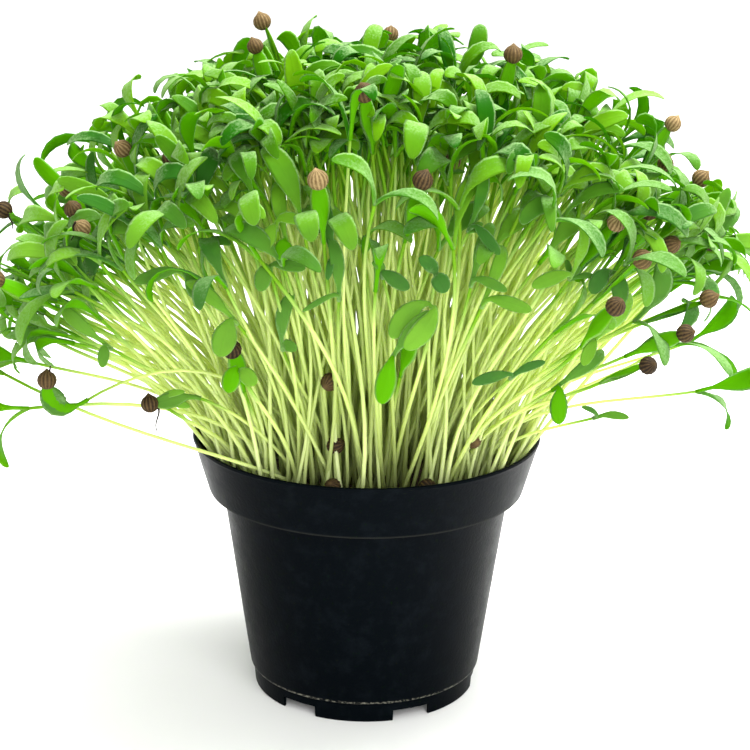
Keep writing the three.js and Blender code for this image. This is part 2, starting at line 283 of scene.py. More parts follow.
@dataclass(frozen=True)
class MouldedPolypropylene:
    """Black polypropylene, injection moulded and handled: a satin skin, dusty scuffs, and chalky seams.

    Real moulding grain and dust are finer than a hair, so both are drawn coarse enough to show. Only the foot
    seam is chalky; the faint pale line along the collar's foot is a painted highlight.
    """

    body: str = "#020508"
    scuffed: str = "#090e12"
    # The chalky seam's colour, also used for the painted highlight along the collar's foot.
    chalk_and_highlight: str = "#8b897c"
    ior: float = 1.49
    specular: float = 0.02
    smoothest: float = 0.3
    roughest: float = 0.46
    scuff_mm: float = 5.0
    grain_mm: float = 0.7
    relief_mm: float = 0.2
    seam_width_mm: float = 0.5
    foot_seam: float = 5.75
    # Where and how strongly the collar's painted highlight shows.
    collar_seam: float = 54.85
    collar_highlight_share: float = 0.035

    def seam(
        self, tree: bpy.types.NodeTree, height: bpy.types.NodeSocket, seam_height: float, most: float
    ) -> bpy.types.NodeSocket:
        """Return how much a seam shows at each height.

        Args:
            tree: the material's node tree.
            height: the height above the surface that the pot stands on.
            seam_height: the seam's own height, in millimetres.
            most: how much it shows in its middle.

        Returns:
            The share, from 0 to 1.
        """
        width = self.seam_width_mm * MM
        off = add_node(tree, "ShaderNodeMath", {0: height, 1: seam_height * MM}, operation="SUBTRACT")
        far = add_node(tree, "ShaderNodeMath", {0: off.outputs[0]}, operation="ABSOLUTE")
        ends = {"From Min": 0.15 * width, "From Max": width, "To Min": most, "To Max": 0.0}
        return add_node(tree, "ShaderNodeMapRange", {"Value": far.outputs[0], **ends}).outputs[0]

    def material(self) -> bpy.types.Material:
        """Make the material. The IOR is that of polypropylene, and scuffs lift its roughness."""
        material, tree = new_material("moulded_polypropylene_black")
        place = add_node(tree, "ShaderNodeTexCoord").outputs["Object"]
        scuffs, grain = (
            add_node(
                tree,
                "ShaderNodeTexNoise",
                {"Vector": place, "Scale": 1 / (size * MM), "Detail": detail, "Roughness": roughness},
            ).outputs["Fac"]
            for size, detail, roughness in ((self.scuff_mm, 7.0, 0.7), (self.grain_mm, 3.0, 0.6))
        )
        scuffed, patchy, roughness = (
            add_node(
                tree,
                "ShaderNodeMapRange",
                {"Value": pattern, "From Min": start, "From Max": end, "To Min": low, "To Max": high},
            ).outputs[0]
            for pattern, start, end, low, high in (
                (scuffs, 0.5, 0.78, 0.0, 1.0),
                (grain, 0.45, 0.7, 0.0, 1.0),
                (scuffs, 0.3, 0.75, self.smoothest, self.roughest),
            )
        )
        height = add_node(tree, "ShaderNodeSeparateXYZ", {"Vector": place}).outputs["Z"]
        foot = self.seam(tree, height, self.foot_seam, 1.0)
        # Painted highlight: a faint pale line along the collar's rounded foot, where its edge catches light.
        collar = self.seam(tree, height, self.collar_seam, self.collar_highlight_share)
        chalk_and_highlight_mask = add_node(tree, "ShaderNodeMath", {0: foot, 1: patchy, 2: collar}, operation="MULTIPLY_ADD")
        skin = add_node(
            tree,
            "ShaderNodeMix",
            {"Factor": scuffed, 6: linear(self.body), 7: linear(self.scuffed)},
            data_type="RGBA",
        )
        colour = add_node(
            tree,
            "ShaderNodeMix",
            {"Factor": chalk_and_highlight_mask.outputs[0], 6: skin.outputs[2], 7: linear(self.chalk_and_highlight)},
            data_type="RGBA",
        )
        bump = add_node(
            tree, "ShaderNodeBump", {"Height": grain, "Strength": 0.3, "Distance": self.relief_mm * MM}
        )
        shader = add_node(
            tree,
            "ShaderNodeBsdfPrincipled",
            {
                "Base Color": colour.outputs[2],
                "Roughness": roughness,
                "Normal": bump.outputs[0],
                "IOR": self.ior,
                "Specular IOR Level": self.specular,
            },
        )
        add_node(tree, "ShaderNodeOutputMaterial", {"Surface": shader.outputs[0]})
        return material


@dataclass(frozen=True)
class PottingCompost:
    """Damp peat-free compost: dark fibres and crumbs, with paler chips."""

    dark: str = "#1d140d"
    middle: str = "#3a281a"
    chip: str = "#7a5a38"
    roughness: float = 0.92
    crumb_mm: float = 2.2
    relief_mm: float = 1.0

    def material(self) -> bpy.types.Material:
        """Make the material. Its crumbs are as wide as sieved compost's."""
        material, tree = new_material("potting_compost")
        place = add_node(tree, "ShaderNodeTexCoord").outputs["Object"]
        crumbs = add_node(
            tree,
            "ShaderNodeTexNoise",
            {"Vector": place, "Scale": 1 / (self.crumb_mm * MM), "Detail": 5.0, "Roughness": 0.7},
        ).outputs["Fac"]
        colour = add_ramp(tree, crumbs, [(0.3, self.dark), (0.55, self.middle), (0.75, self.chip)])
        bump = add_node(
            tree, "ShaderNodeBump", {"Height": crumbs, "Strength": 0.8, "Distance": self.relief_mm * MM}
        )
        shader = add_node(
            tree,
            "ShaderNodeBsdfPrincipled",
            {"Base Color": colour, "Roughness": self.roughness, "Normal": bump.outputs[0]},
        )
        add_node(tree, "ShaderNodeOutputMaterial", {"Surface": shader.outputs[0]})
        return material


@dataclass(frozen=True)
class PlantTissue:
    """What stems and leaves share: a waxy skin over wet tissue that light passes through."""

    name: str
    glow_share: float
    roughness: float
    gloss: float
    bump_mm: float = 0.05
    ior: float = 1.42

    def finish(
        self,
        material: bpy.types.Material,
        colour: bpy.types.NodeSocket,
        glow: bpy.types.NodeSocket,
        height: bpy.types.NodeSocket,
    ) -> bpy.types.Material:
        """Join the skin and the light from behind into one surface.

        Args:
            material: the material that is being made.
            colour: the skin's colour.
            glow: the colour of light that comes through.
            height: the relief of the skin.

        Returns:
            The same material.
        """
        tree = material.node_tree
        relief = {"Height": height, "Strength": 0.5, "Distance": self.bump_mm * MM}
        bump = add_node(tree, "ShaderNodeBump", relief).outputs[0]
        skin = add_node(
            tree,
            "ShaderNodeBsdfPrincipled",
            {
                "Base Color": colour,
                "Roughness": self.roughness,
                "IOR": self.ior,
                "Specular IOR Level": self.gloss,
                "Normal": bump,
            },
        )
        through = add_node(tree, "ShaderNodeBsdfTranslucent", {"Color": glow, "Normal": bump})
        shaders = {"Fac": self.glow_share, 1: skin.outputs[0], 2: through.outputs[0]}
        both = add_node(tree, "ShaderNodeMixShader", shaders)
        add_node(tree, "ShaderNodeOutputMaterial", {"Surface": both.outputs[0]})
        return material


@dataclass(frozen=True)
class StemTissue(PlantTissue):
    """A blanched stem: nearly white at its foot, yellow-green above, green under its leaves.

    Its fibres are drawn about as wide as the stem's own ribs, since single ones don't show.
    """

    name: str = "seedling_stem_tissue"
    glow_share: float = 0.5
    roughness: float = 0.3
    gloss: float = 0.16
    foot: str = "#e2eabe"
    low: str = "#dfe8ac"
    high: str = "#e6f0a6"
    neck: str = "#7cba22"
    foot_glow: str = "#e6ecae"
    glow: str = "#deee52"
    shaded: str = "#94b024"
    deep_shade: str = "#3e4e08"
    vigour_shift: float = 0.14
    fibre_mm: float = 0.5

    def material(self) -> bpy.types.Material:
        """Make the material, whose colour runs along the stem and darkens in the crowd's shade."""
        material, tree = new_material(self.name)
        growth, vigour, shade = (
            add_node(tree, "ShaderNodeAttribute", attribute_name=key).outputs["Fac"]
            for key in ("growth", "vigour", "shade")
        )
        spread = {0: vigour, 1: self.vigour_shift, 2: -self.vigour_shift / 2}
        shift = add_node(tree, "ShaderNodeMath", spread, operation="MULTIPLY_ADD").outputs[0]
        along = add_node(tree, "ShaderNodeMath", {0: growth, 1: shift}, operation="ADD").outputs[0]
        lit = [(0.02, self.foot), (0.3, self.low), (0.74, self.high), (0.94, self.neck)]
        colour = add_ramp(tree, along, lit)
        dim = add_ramp(tree, shade, [(0.35, self.shaded), (0.85, self.deep_shade)])
        skin = add_node(tree, "ShaderNodeMix", {"Factor": shade, 6: colour, 7: dim}, data_type="RGBA")
        place = add_node(tree, "ShaderNodeTexCoord").outputs["Object"]
        pattern = {"Vector": place, "Scale": 1 / (self.fibre_mm * MM), "Detail": 2.0}
        fibres = add_node(tree, "ShaderNodeTexNoise", pattern).outputs["Fac"]
        behind = [(0.05, self.foot_glow), (0.5, self.glow), (0.74, self.glow), (0.94, self.neck)]
        return self.finish(material, skin.outputs[2], add_ramp(tree, along, behind), fibres)


@dataclass(frozen=True)
class LeafTissue(PlantTissue):
    """A seed leaf: a waxy green upper face with a pale bloom, and a bright yellow-green glow behind.

    Wax bloom is finer than dust, so its grain is drawn coarse enough to show. Its pale colour is also a
    painted sheen where the face is seen at a slant, and painted light on the leaves that hang low.
    """

    name: str = "seed_leaf_tissue"
    glow_share: float = 0.42
    roughness: float = 0.46
    gloss: float = 0.04
    deep: str = "#1e5a04"
    fresh: str = "#699e0e"
    under: str = "#58a206"
    glow_low: str = "#66a800"
    glow_high: str = "#a0cc06"
    # A pale colour that is partly wax bloom, partly painted sheen, and partly painted light on low leaves.
    bloom_and_sheen: str = "#b6da96"
    blotch_mm: float = 7.0
    bloom_mm: float = 0.5
    bloom_and_sheen_most: float = 0.54
    # Painted light: the most pale colour that the lowest leaves get.
    low_painted_light: float = 0.1
    crown_foot_mm: float = 118.0
    crown_full_mm: float = 158.0
    vein_mm: float = 1.1
    vein_slant: float = 0.55
    rib_share: float = 0.09

    def material(self) -> bpy.types.Material:
        """Make the material, with the midrib and side veins drawn along each blade."""
        material, tree = new_material(self.name)
        vigour, upside = (
            add_node(tree, "ShaderNodeAttribute", attribute_name=key).outputs["Fac"]
            for key in ("vigour", "upside")
        )
        place = add_node(tree, "ShaderNodeTexCoord")
        blotch, grain = (
            add_node(
                tree,
                "ShaderNodeTexNoise",
                {"Vector": place.outputs["Object"], "Scale": 1 / (size * MM), "Detail": detail},
            ).outputs["Fac"]
            for size, detail in ((self.blotch_mm, 2.0), (self.bloom_mm, 3.0))
        )
        tone = add_node(tree, "ShaderNodeMath", {0: blotch, 1: 0.5, 2: vigour}, operation="MULTIPLY_ADD")
        half = add_node(tree, "ShaderNodeMath", {0: tone.outputs[0], 1: -0.25}, operation="ADD").outputs[0]
        face = add_ramp(tree, half, [(0.1, self.deep), (0.9, self.fresh)])
        # Painted sheen: the pale colour gathers on the wax grain where the face is seen at a slant.
        grazing = add_node(tree, "ShaderNodeLayerWeight", {"Blend": 0.65}).outputs["Facing"]
        thin = add_node(tree, "ShaderNodeMath", {0: grain, 1: grazing}, operation="MULTIPLY")
        # Painted light: the lower a leaf hangs below the crown, the more pale colour it gets.
        above = add_node(tree, "ShaderNodeSeparateXYZ", {"Vector": place.outputs["Object"]}).outputs["Z"]
        ends = {"From Min": self.crown_full_mm * MM, "From Max": self.crown_foot_mm * MM}
        least = {"Value": above, **ends, "To Min": 0.0, "To Max": self.low_painted_light}
        low = add_node(tree, "ShaderNodeMapRange", least).outputs[0]
        bloom_and_sheen_range = {"From Min": 0.18, "From Max": 0.5, "To Min": low, "To Max": self.bloom_and_sheen_most}
        bloom_and_sheen_share = add_node(tree, "ShaderNodeMapRange", {"Value": thin.outputs[0], **bloom_and_sheen_range}).outputs[0]
        bloom_and_sheen_mix = {"Factor": bloom_and_sheen_share, 6: face, 7: linear(self.bloom_and_sheen)}
        bloom_and_sheen = add_node(tree, "ShaderNodeMix", bloom_and_sheen_mix, data_type="RGBA").outputs[2]
        faces = {"Factor": upside, 6: linear(self.under), 7: bloom_and_sheen}
        skin = add_node(tree, "ShaderNodeMix", faces, data_type="RGBA").outputs[2]
        glow = add_ramp(tree, half, [(0.1, self.glow_low), (0.9, self.glow_high)])
        flat = add_node(tree, "ShaderNodeSeparateXYZ", {"Vector": place.outputs["UV"]})
        across = add_node(tree, "ShaderNodeMath", {0: flat.outputs["X"], 1: 0.5}, operation="SUBTRACT")
        off_rib = add_node(tree, "ShaderNodeMath", {0: across.outputs[0]}, operation="ABSOLUTE").outputs[0]
        ramp = {"Value": off_rib, "From Min": 0.0, "From Max": self.rib_share, "To Min": 0.0, "To Max": 1.0}
        rib = add_node(tree, "ShaderNodeMapRange", ramp, interpolation_type="SMOOTHSTEP").outputs[0]
        slant = add_node(
            tree,
            "ShaderNodeMath",
            {0: off_rib, 1: -self.vein_slant, 2: flat.outputs["Y"]},
            operation="MULTIPLY_ADD",
        )
        turns = 2.2 * (20 / self.vein_mm)
        wave = add_node(tree, "ShaderNodeMath", {0: slant.outputs[0], 1: turns}, operation="MULTIPLY")
        veins = add_node(tree, "ShaderNodeMath", {0: wave.outputs[0]}, operation="SINE").outputs[0]
        relief = add_node(tree, "ShaderNodeMath", {0: veins, 1: 0.12, 2: rib}, operation="MULTIPLY_ADD")
        return self.finish(material, skin, glow, relief.outputs[0])


@dataclass(frozen=True)
class SeedHusk:
    """A coriander husk: a dry woody shell, ribbed, from tan to nearly black."""

    dark: str = "#1c130a"
    middle: str = "#5c492b"
    pale: str = "#a68f64"
    roughness: float = 0.7
    specular: float = 0.12
    grain_mm: float = 0.6
    relief_mm: float = 0.3

    def material(self) -> bpy.types.Material:
        """Make the material, whose colour follows each husk's own tone and pales on its ribs."""
        material, tree = new_material("coriander_seed_husk")
        tone, ribs = (
            add_node(tree, "ShaderNodeAttribute", attribute_name=key).outputs["Fac"]
            for key in ("vigour", "growth")
        )
        place = add_node(tree, "ShaderNodeTexCoord").outputs["Object"]
        grain = add_node(
            tree,
            "ShaderNodeTexNoise",
            {"Vector": place, "Scale": 1 / (self.grain_mm * MM), "Detail": 4.0, "Roughness": 0.65},
        ).outputs["Fac"]
        for pattern, share in ((grain, 0.5), (ribs, 0.35)):
            sums = {0: pattern, 1: share, 2: tone}
            tone = add_node(tree, "ShaderNodeMath", sums, operation="MULTIPLY_ADD").outputs[0]
        low = add_node(tree, "ShaderNodeMath", {0: tone, 1: -0.5}, operation="ADD")
        colour = add_ramp(tree, low.outputs[0], [(0.0, self.dark), (0.5, self.middle), (1.0, self.pale)])
        bump = add_node(
            tree, "ShaderNodeBump", {"Height": grain, "Strength": 0.6, "Distance": self.relief_mm * MM}
        )
        shader = add_node(
            tree,
            "ShaderNodeBsdfPrincipled",
            {
                "Base Color": colour,
                "Roughness": self.roughness,
                "Specular IOR Level": self.specular,
                "Normal": bump.outputs[0],
            },
        )
        add_node(tree, "ShaderNodeOutputMaterial", {"Surface": shader.outputs[0]})
        return material


# Pot and medium


@dataclass
class Pot:
    """The nursery pot: a turned wall with a deep collar, and a foot ring cut into feet."""

    height: float = 69.0
    rim_radius: float = 45.0
    collar_height: float = 14.5
    collar_foot_radius: float = 41.0
    body_top_radius: float = 37.4
    body_foot_radius: float = 30.4
    skirt_height: float = 5.8
    skirt_radius: float = 29.6
    foot_radius: float = 29.2
    wall: float = 1.0
    floor_underside: float = 4.4
    floor_thickness: float = 1.2
    sides: int = 128
    feet: int = 6
    front_foot_turn: float = -5.0
    notch_angle: float = 20.0
    notch_depth: float = 8.0
    notch_height: float = 3.0
    drain_radius: float = 3.4
    drain_circle: float = 20.0
    drain_sides: int = 32
    edge: float = 0.25
    smooth_angle: float = 32.0
    finish: MouldedPolypropylene = field(default_factory=MouldedPolypropylene)

    @property
    def collar_foot(self) -> float:
        """The height of the ledge under the collar."""
        return self.height - self.collar_height

    @property
    def floor_top(self) -> float:
        """The height of the floor inside."""
        return self.floor_underside + self.floor_thickness

    def inner_radius(self, height: float) -> float:
        """Return the wall's inner radius at a height.

        Args:
            height: millimetres above the surface that the pot stands on.

        Returns:
            The radius in millimetres.
        """
        ledge = self.collar_foot + self.wall
        if height > ledge:
            low, high = (ledge, self.collar_foot_radius), (self.height, self.rim_radius)
        else:
            low, high = (self.floor_top, self.body_foot_radius), (ledge, self.body_top_radius)
        share = (height - low[0]) / (high[0] - low[0])
        return low[1] + (high[1] - low[1]) * share - self.wall

    def profile(self) -> list[tuple[float, float]]:
        """Return the wall's profile, from under the floor out, up, over the rim and down inside."""
        edge, wall, ledge, top = self.edge, self.wall, self.collar_foot, self.height
        foot, skirt, step = self.foot_radius, self.skirt_radius, self.skirt_height
        low, high = self.body_foot_radius, self.body_top_radius
        collar, rim = self.collar_foot_radius, self.rim_radius
        return [
            (skirt - wall, self.floor_underside),
            (foot - wall, edge),
            (foot - wall + edge, 0.0),
            (foot - edge, 0.0),
            (foot, edge),
            (skirt, step - 0.6),
            (skirt + 0.35, step - 0.45),
            (low - 0.1, step - 0.05),
            (low + 0.05, step + 0.5),
            (high - 0.1, ledge - 0.6),
            (high + 0.1, ledge - 0.1),
            (high + 0.6, ledge + 0.05),
            (collar - 0.7, ledge),
            (collar - 0.1, ledge + 0.2),
            (collar + 0.1, ledge + 0.7),
            (rim - 0.25, top - 1.1),
            (rim, top - 0.7),
            (rim - 0.1, top - 0.15),
            (rim - 0.4, top),
            (rim - wall + 0.1, top - 0.1),
            (rim - wall - 0.1, top - 0.6),
            (collar - wall, ledge + wall + edge),
            (collar - wall - edge, ledge + wall),
            (high - wall, ledge + wall),
            (high - wall - 0.1, ledge + wall - edge),
            (low - wall + 0.1, self.floor_top + edge),
            (low - wall - edge, self.floor_top),
        ]

    def turned_wall(self) -> bpy.types.Object:
        """Extrude a ring along the profile, and close it under and over the floor."""
        steps = self.profile()
        pot = disc("nursery_pot", self.sides, steps[0])
        bpy.ops.mesh.select_all(action="DESELECT")
        bpy.ops.mesh.select_non_manifold(extend=False, use_wire=False, use_boundary=True)
        bpy.ops.mesh.select_mode(type="EDGE")
        draw_up(steps)
        bpy.ops.mesh.edge_face_add()
        close_turned(pot)
        return pot

    def around(self, radius: float, height: float, offset: float) -> list[tuple[float, tuple]]:
        """Return a turn, and a place in metres, for each foot or for each gap beside one.

        Args:
            radius: how far out the places are, in millimetres.
            height: how high they are, in millimetres.
            offset: 0 for the feet and 0.5 for the gaps between them.

        Returns:
            The turns in radians, with their places.
        """
        found = []
        for i in range(self.feet):
            turn = math.radians(self.front_foot_turn + 360 / self.feet * (i + offset))
            place = (radius * math.sin(turn) * MM, -radius * math.cos(turn) * MM, height * MM)
            found.append((turn, place))
        return found

    def notches(self) -> bpy.types.Object:
        """Make the blocks that part the foot ring into feet."""
        width = 2 * self.foot_radius * math.sin(math.radians(self.notch_angle / 2))
        deselect_all()
        blocks = []
        for turn, place in self.around(self.foot_radius, 0.0, 0.5):
            bpy.ops.mesh.primitive_cube_add(size=1, location=place, rotation=(0, 0, turn))
            block = bpy.context.object
            block.scale = (width * MM, self.notch_depth * MM, 2 * self.notch_height * MM)
            blocks.append(block)
        return joined(blocks)

    def drains(self) -> bpy.types.Object:
        """Make the pins that open the drain holes."""
        deselect_all()
        size = {"vertices": self.drain_sides, "radius": self.drain_radius * MM}
        pins = []
        for _, place in self.around(self.drain_circle, self.floor_top, 0.0):
            bpy.ops.mesh.primitive_cylinder_add(**size, depth=4 * self.floor_thickness * MM, location=place)
            pins.append(bpy.context.object)
        return joined(pins)

    def build(self) -> None:
        """Build, dress and hand over the pot."""
        pot = self.turned_wall()
        for make in (self.notches, self.drains):
            cutter = make()
            apply_modifier(pot, "BOOLEAN", object=cutter, operation="DIFFERENCE", solver="EXACT")
            discard(cutter)
        deselect_all()
        pot.select_set(True)
        bpy.context.view_layer.objects.active = pot
        bpy.ops.object.shade_smooth_by_angle(angle=math.radians(self.smooth_angle))
        pot.data.materials.append(self.finish.material())
        hand_over(pot, "pot", "pot")


@dataclass
class GrowingMedium:
    """The compost: a plug that fills the pot, with a crumbly top."""

    pot: Pot
    top: float = 61.5
    gap: float = 0.3
    sides: int = 96
    rings: int = 24
    swell: float = 1.6
    lump_mm: float = 4.0
    smooth_rim: float = 1.5
    crumbs: int = 420
    crumb_rim: float = 2.2
    crumb_lift: float = 0.8
    smallest_crumb: float = 0.5
    crumb_spread: float = 1.3
    crumb_shape: tuple[float, float, float] = (1.0, 0.8, 0.6)
    crumb_turn: float = 6.28
    crumb_tilt: float = 1.2
    finish: PottingCompost = field(default_factory=PottingCompost)

    def plug(self) -> bpy.types.Object:
        """Extrude the plug to the pot's inside, and break up its top."""
        pot = self.pot
        ledge = pot.collar_foot + pot.wall + self.gap
        steps = [
            (pot.inner_radius(pot.floor_top + self.gap) - self.gap, pot.floor_top + self.gap),
            (pot.inner_radius(pot.collar_foot) - self.gap, ledge),
            (pot.collar_foot_radius - pot.wall - self.gap, ledge + 0.05),
            (pot.inner_radius(self.top) - self.gap, self.top),
        ]
        radius = steps[-1][0]
        plug = disc("compost_plug", self.sides, steps[0])
        bpy.ops.mesh.select_mode(type="FACE")
        bpy.ops.mesh.select_all(action="SELECT")
        draw_up(steps)
        for _ in range(self.rings):
            bpy.ops.mesh.inset(thickness=radius * MM / (self.rings + 1))
        close_turned(plug)
        group = plug.vertex_groups.new(name="top")
        inner, level = (radius - self.smooth_rim) * MM, (self.top - 0.1) * MM
        loose = [v.index for v in plug.data.vertices if v.co.z > level and v.co.xy.length < inner]
        group.add(loose, 1, "ADD")
        clouds = bpy.data.textures.new("compost_lumps", "CLOUDS")
        clouds.noise_scale = self.lump_mm * MM
        clouds.noise_depth = 3
        swell = {"strength": 2 * self.swell * MM, "mid_level": 0.55}
        apply_modifier(plug, "DISPLACE", texture=clouds, vertex_group="top", **swell)
        return plug

    def crumb(self) -> bpy.types.Object:
        """Model one crumb: a rough pebble that is flatter than it is wide."""
        deselect_all()
        bpy.ops.mesh.primitive_ico_sphere_add(subdivisions=1, radius=1)
        crumb = named("crumb")
        bpy.ops.object.mode_set(mode="EDIT")
        bpy.ops.mesh.select_all(action="SELECT")
        bpy.ops.transform.vertex_random(offset=0.3, seed=4)
        bpy.ops.transform.resize(value=self.crumb_shape)
        bpy.ops.object.mode_set(mode="OBJECT")
        return crumb

    def scattered(self) -> bpy.types.Object:
        """Scatter copies of the crumb over the top, in one mesh."""
        points, faces = shape_of(self.crumb())
        draws = Draws(Stream.CRUMBS)
        builder = MeshBuilder()
        reach = self.pot.inner_radius(self.top) - self.crumb_rim
        for _ in range(self.crumbs):
            azimuth = 2 * math.pi * draws()
            radius = reach * math.sqrt(draws())
            size = self.smallest_crumb + self.crumb_spread * draws() ** 2
            turn = Matrix.Rotation(self.crumb_turn * draws(), 3, "Z")
            turn = turn @ Matrix.Rotation(self.crumb_tilt * (draws() - 0.5), 3, "X")
            height = self.top + self.crumb_lift * draws()
            centre = np.array([radius * math.cos(azimuth), radius * math.sin(azimuth), height])
            placed = points @ np.array(turn).T * size + centre
            builder.add(placed, faces, {"vigour": np.full(len(points), draws())})
        return builder.piece("compost_crumbs")

    def build(self) -> None:
        """Build, dress and hand over the compost."""
        material = self.finish.material()
        for made, nodes in ((self.plug(), ["growing_medium"]), (self.scattered(), [])):
            made.data.materials.append(material)
            hand_over(made, "growing_medium", *nodes)


# Sowing


class Draws:
    """A stream of numbers from 0 to 1 that a whole number starts."""

    def __init__(self, seed: int) -> None:
        """Start the stream and pass over its first numbers."""
        self.state = (seed * 48271 + 11) % 2147483647
        for _ in range(4):
            self()

    def __call__(self) -> float:
        """Return the next number."""
        self.state = self.state * 16807 % 2147483647
        return self.state / 2147483647


class Habit(Enum):
    """How a seedling holds its leaves."""

    OPEN = "open"
    LOOSE = "loose"
    CAPPED = "capped"


@dataclass(frozen=True)
class Carriage:
    """How a habit carries an open leaf.

    The first two are a factor and a shift, in radians, for its angle at the stem and at its tip.
    The others are a factor for its twist, how far it droops, where along it the bend comes, and a
    factor for its width.
    """

    start: tuple[float, float] = (1.0, 0.0)
    end: tuple[float, float] = (1.0, 0.0)
    twist: float = 1.0
    droop: float = 0.45
    curl: float = 1.7
    width: float = 1.0


STEADY = Carriage()
LOOSE = Carriage(start=(1.2, -0.2), end=(1.8, -1.5), twist=2.2, droop=0.3, curl=2.1, width=0.8)


@dataclass
class LeafPath:
    """A leaf's midrib: its points, upper side and edge side, step by step."""

    points: np.ndarray
    upper: np.ndarray
    side: np.ndarray
    half_width: float


@dataclass(frozen=True)
class Blade:
    """A leaf that is given: its blade's ends, and which side it shows in front."""

    root: tuple[float, float, float]
    tip: tuple[float, float, float]
    half_width: float
    shows_upper: bool


@dataclass
class Seedling:
    """One plant: its stem's curve, its two leaves, and its husk's centre if it still has one."""

    curve: np.ndarray
    leaves: list[LeafPath]
    husk: np.ndarray | None
    tip: np.ndarray
    tuft: int
    markers: np.ndarray = field(default_factory=lambda: np.zeros((0, 3)))
    gap: float = math.inf

    def close_leaves(self, share: float) -> None:
        """Bring its two leaves together, to a share of how far apart they are."""
        middle = (self.leaves[0].points + self.leaves[1].points) / 2
        for leaf in self.leaves:
            leaf.points = middle + share * (leaf.points - middle)

    def mark(self, markers: np.ndarray) -> None:
        """Keep the points that its neighbours keep clear of, and the box around them."""
        self.markers = markers
        self.low = markers.min(axis=0)
        self.high = markers.max(axis=0)


def curve_points(curve: np.ndarray, shares: np.ndarray) -> np.ndarray:
    """Return points on a stem's curve.

    Args:
        curve: the four control points.
        shares: shares of the way along, from 0 to 1.

    Returns:
        One point for each share.
    """
    s = np.atleast_1d(np.asarray(shares, float))[:, None]
    r = 1 - s
    return r**3 * curve[0] + 3 * r * r * s * curve[1] + 3 * r * s * s * curve[2] + s**3 * curve[3]


def curve_headings(curve: np.ndarray, shares: np.ndarray) -> np.ndarray:
    """Return directions along a stem's curve, as unit vectors, for the same arguments."""
    s = np.atleast_1d(np.asarray(shares, float))
    ahead = curve_points(curve, np.minimum(s + 0.0001, 1))
    return unit(ahead - curve_points(curve, np.maximum(s - 0.0001, 0)))


@dataclass(frozen=True)
class Infill:
    """How the seedlings between the tufts stand and lean.

    They lean out less in front and on the right, and end lower on the left. At both sides every
    other one in a band leans in, which keeps the crown full from above. Lengths are in
    millimetres, leans and turn_scatter in degrees, and first_turn in radians.
    """

    count: int = 480
    radius: float = 41.0
    first_turn: float = 1.3
    foot_scatter: float = 2.5
    turn_scatter: float = 34.0
    share_scatter: float = 0.24
    front_in: float = 0.42
    front_level: float = 0.7
    right_in: float = 0.28
    left_drop: float = 16.0
    sides_from: float = 0.3
    band: tuple[float, float] = (0.3, 0.78)
    band_in: float = 0.55
    least_lean: float = 20.0
    more_lean: float = 35.0
    sway: float = 1.8
    bare_spot: tuple[float, float] = (8.0, -36.0)
    bare_radius: float = 5.5


